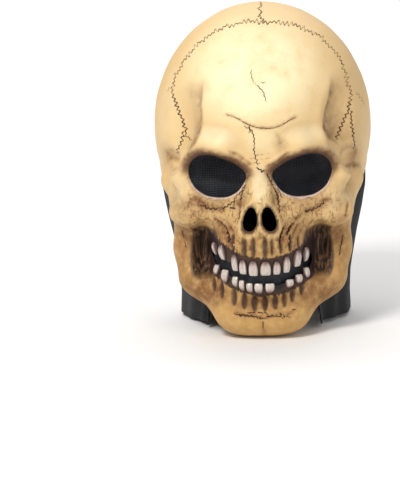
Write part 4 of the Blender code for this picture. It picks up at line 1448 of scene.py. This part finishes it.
def add_camera():
    turn, rise, roll = CAMERA_TURN, CAMERA_RISE, CAMERA_ROLL
    back = Vector((
        math.sin(turn) * math.cos(rise), -math.cos(turn) * math.cos(rise), math.sin(rise)
    ))
    level = Vector((math.cos(turn), math.sin(turn), 0))
    above = back.cross(level)
    right = math.cos(roll) * level - math.sin(roll) * above
    up = math.cos(roll) * above + math.sin(roll) * level
    ahead = (
        -back * FOCAL_PIXELS + right * (PICTURE[0] / 2 - AIM_PIXEL[0])
        - up * (PICTURE[1] / 2 - AIM_PIXEL[1])
    ).normalized()
    right = (right - ahead * right.dot(ahead)).normalized()
    up = right.cross(ahead)
    camera = bpy.data.cameras.new("photo_camera")
    camera.sensor_width = SENSOR
    camera.lens = FOCAL_PIXELS / max(PICTURE) * SENSOR
    camera.clip_end = 100
    made = linked("photo_camera", camera)
    turned = Matrix((right, up, -ahead)).transposed().to_4x4()
    made.matrix_world = Matrix.Translation(AIM + back * CAMERA_DISTANCE) @ turned
    bpy.context.scene.camera = made


ROOM_COLOUR = (1.0, 0.99, 0.98, 1)
ROOM_STRENGTH = 0.42
FLOOR_REACH = 9


def add_light(name, place, size, power, tint, target):
    lamp = bpy.data.lights.new(name, "AREA")
    lamp.size = size
    lamp.energy = power
    lamp.color = tint
    made = linked(name, lamp)
    away = (Vector(place) - target).normalized()
    made.rotation_euler = away.to_track_quat("Z", "Y").to_euler()
    made.location = place


def add_studio(low_z):
    """A plain pale floor, a pale room and soft lights."""
    corners = [(FLOOR_REACH * i, FLOOR_REACH * j, 0) for i, j in ((-1, -1), (1, -1), (1, 1), (-1, 1))]
    floor = mesh_of("floor", corners, [(0, 1, 2, 3)])
    floor.materials.append(floor_paint())
    made = linked("floor", floor)
    made.location.z = low_z
    made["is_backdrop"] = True
    world = bpy.data.worlds.new("pale_room")
    world.use_nodes = True
    sky = world.node_tree.nodes["Background"].inputs
    sky["Color"].default_value = ROOM_COLOUR
    sky["Strength"].default_value = ROOM_STRENGTH
    bpy.context.scene.world = world
    bpy.context.scene.view_settings.view_transform = "Standard"
    add_light("key", (-0.75, -1.45, 1.45), 0.7, 38, (1.0, 0.98, 0.95), AIM)
    add_light("fill", (1.5, -1.5, 0.35), 1.0, 6, (0.97, 0.98, 1.0), AIM)
    add_light("backdrop", (0, 3.4, 2.9), 5.0, 150, (1.0, 1.0, 1.0), Vector((0, 3.0, low_z)))


def main():
    trails = make_trails()
    skull_shell(trails)
    enamel = tooth_enamel()
    for row in UPPER_TEETH:
        tooth(row, MOUTH_HEIGHT + BITE_GAP / 2, UPPER_TOOTH, 1, enamel)
    for row in LOWER_TEETH:
        tooth(row, MOUTH_HEIGHT - BITE_GAP / 2, LOWER_TOOTH, -1, enamel)
    weave = black_mesh()
    eye_panel(1, "left", weave)
    eye_panel(-1, "right", weave)
    mouth_panel(weave)
    hood(black_stretch())
    add_camera()
    add_studio(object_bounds()[0][2] - 0.5 * MM)


main()
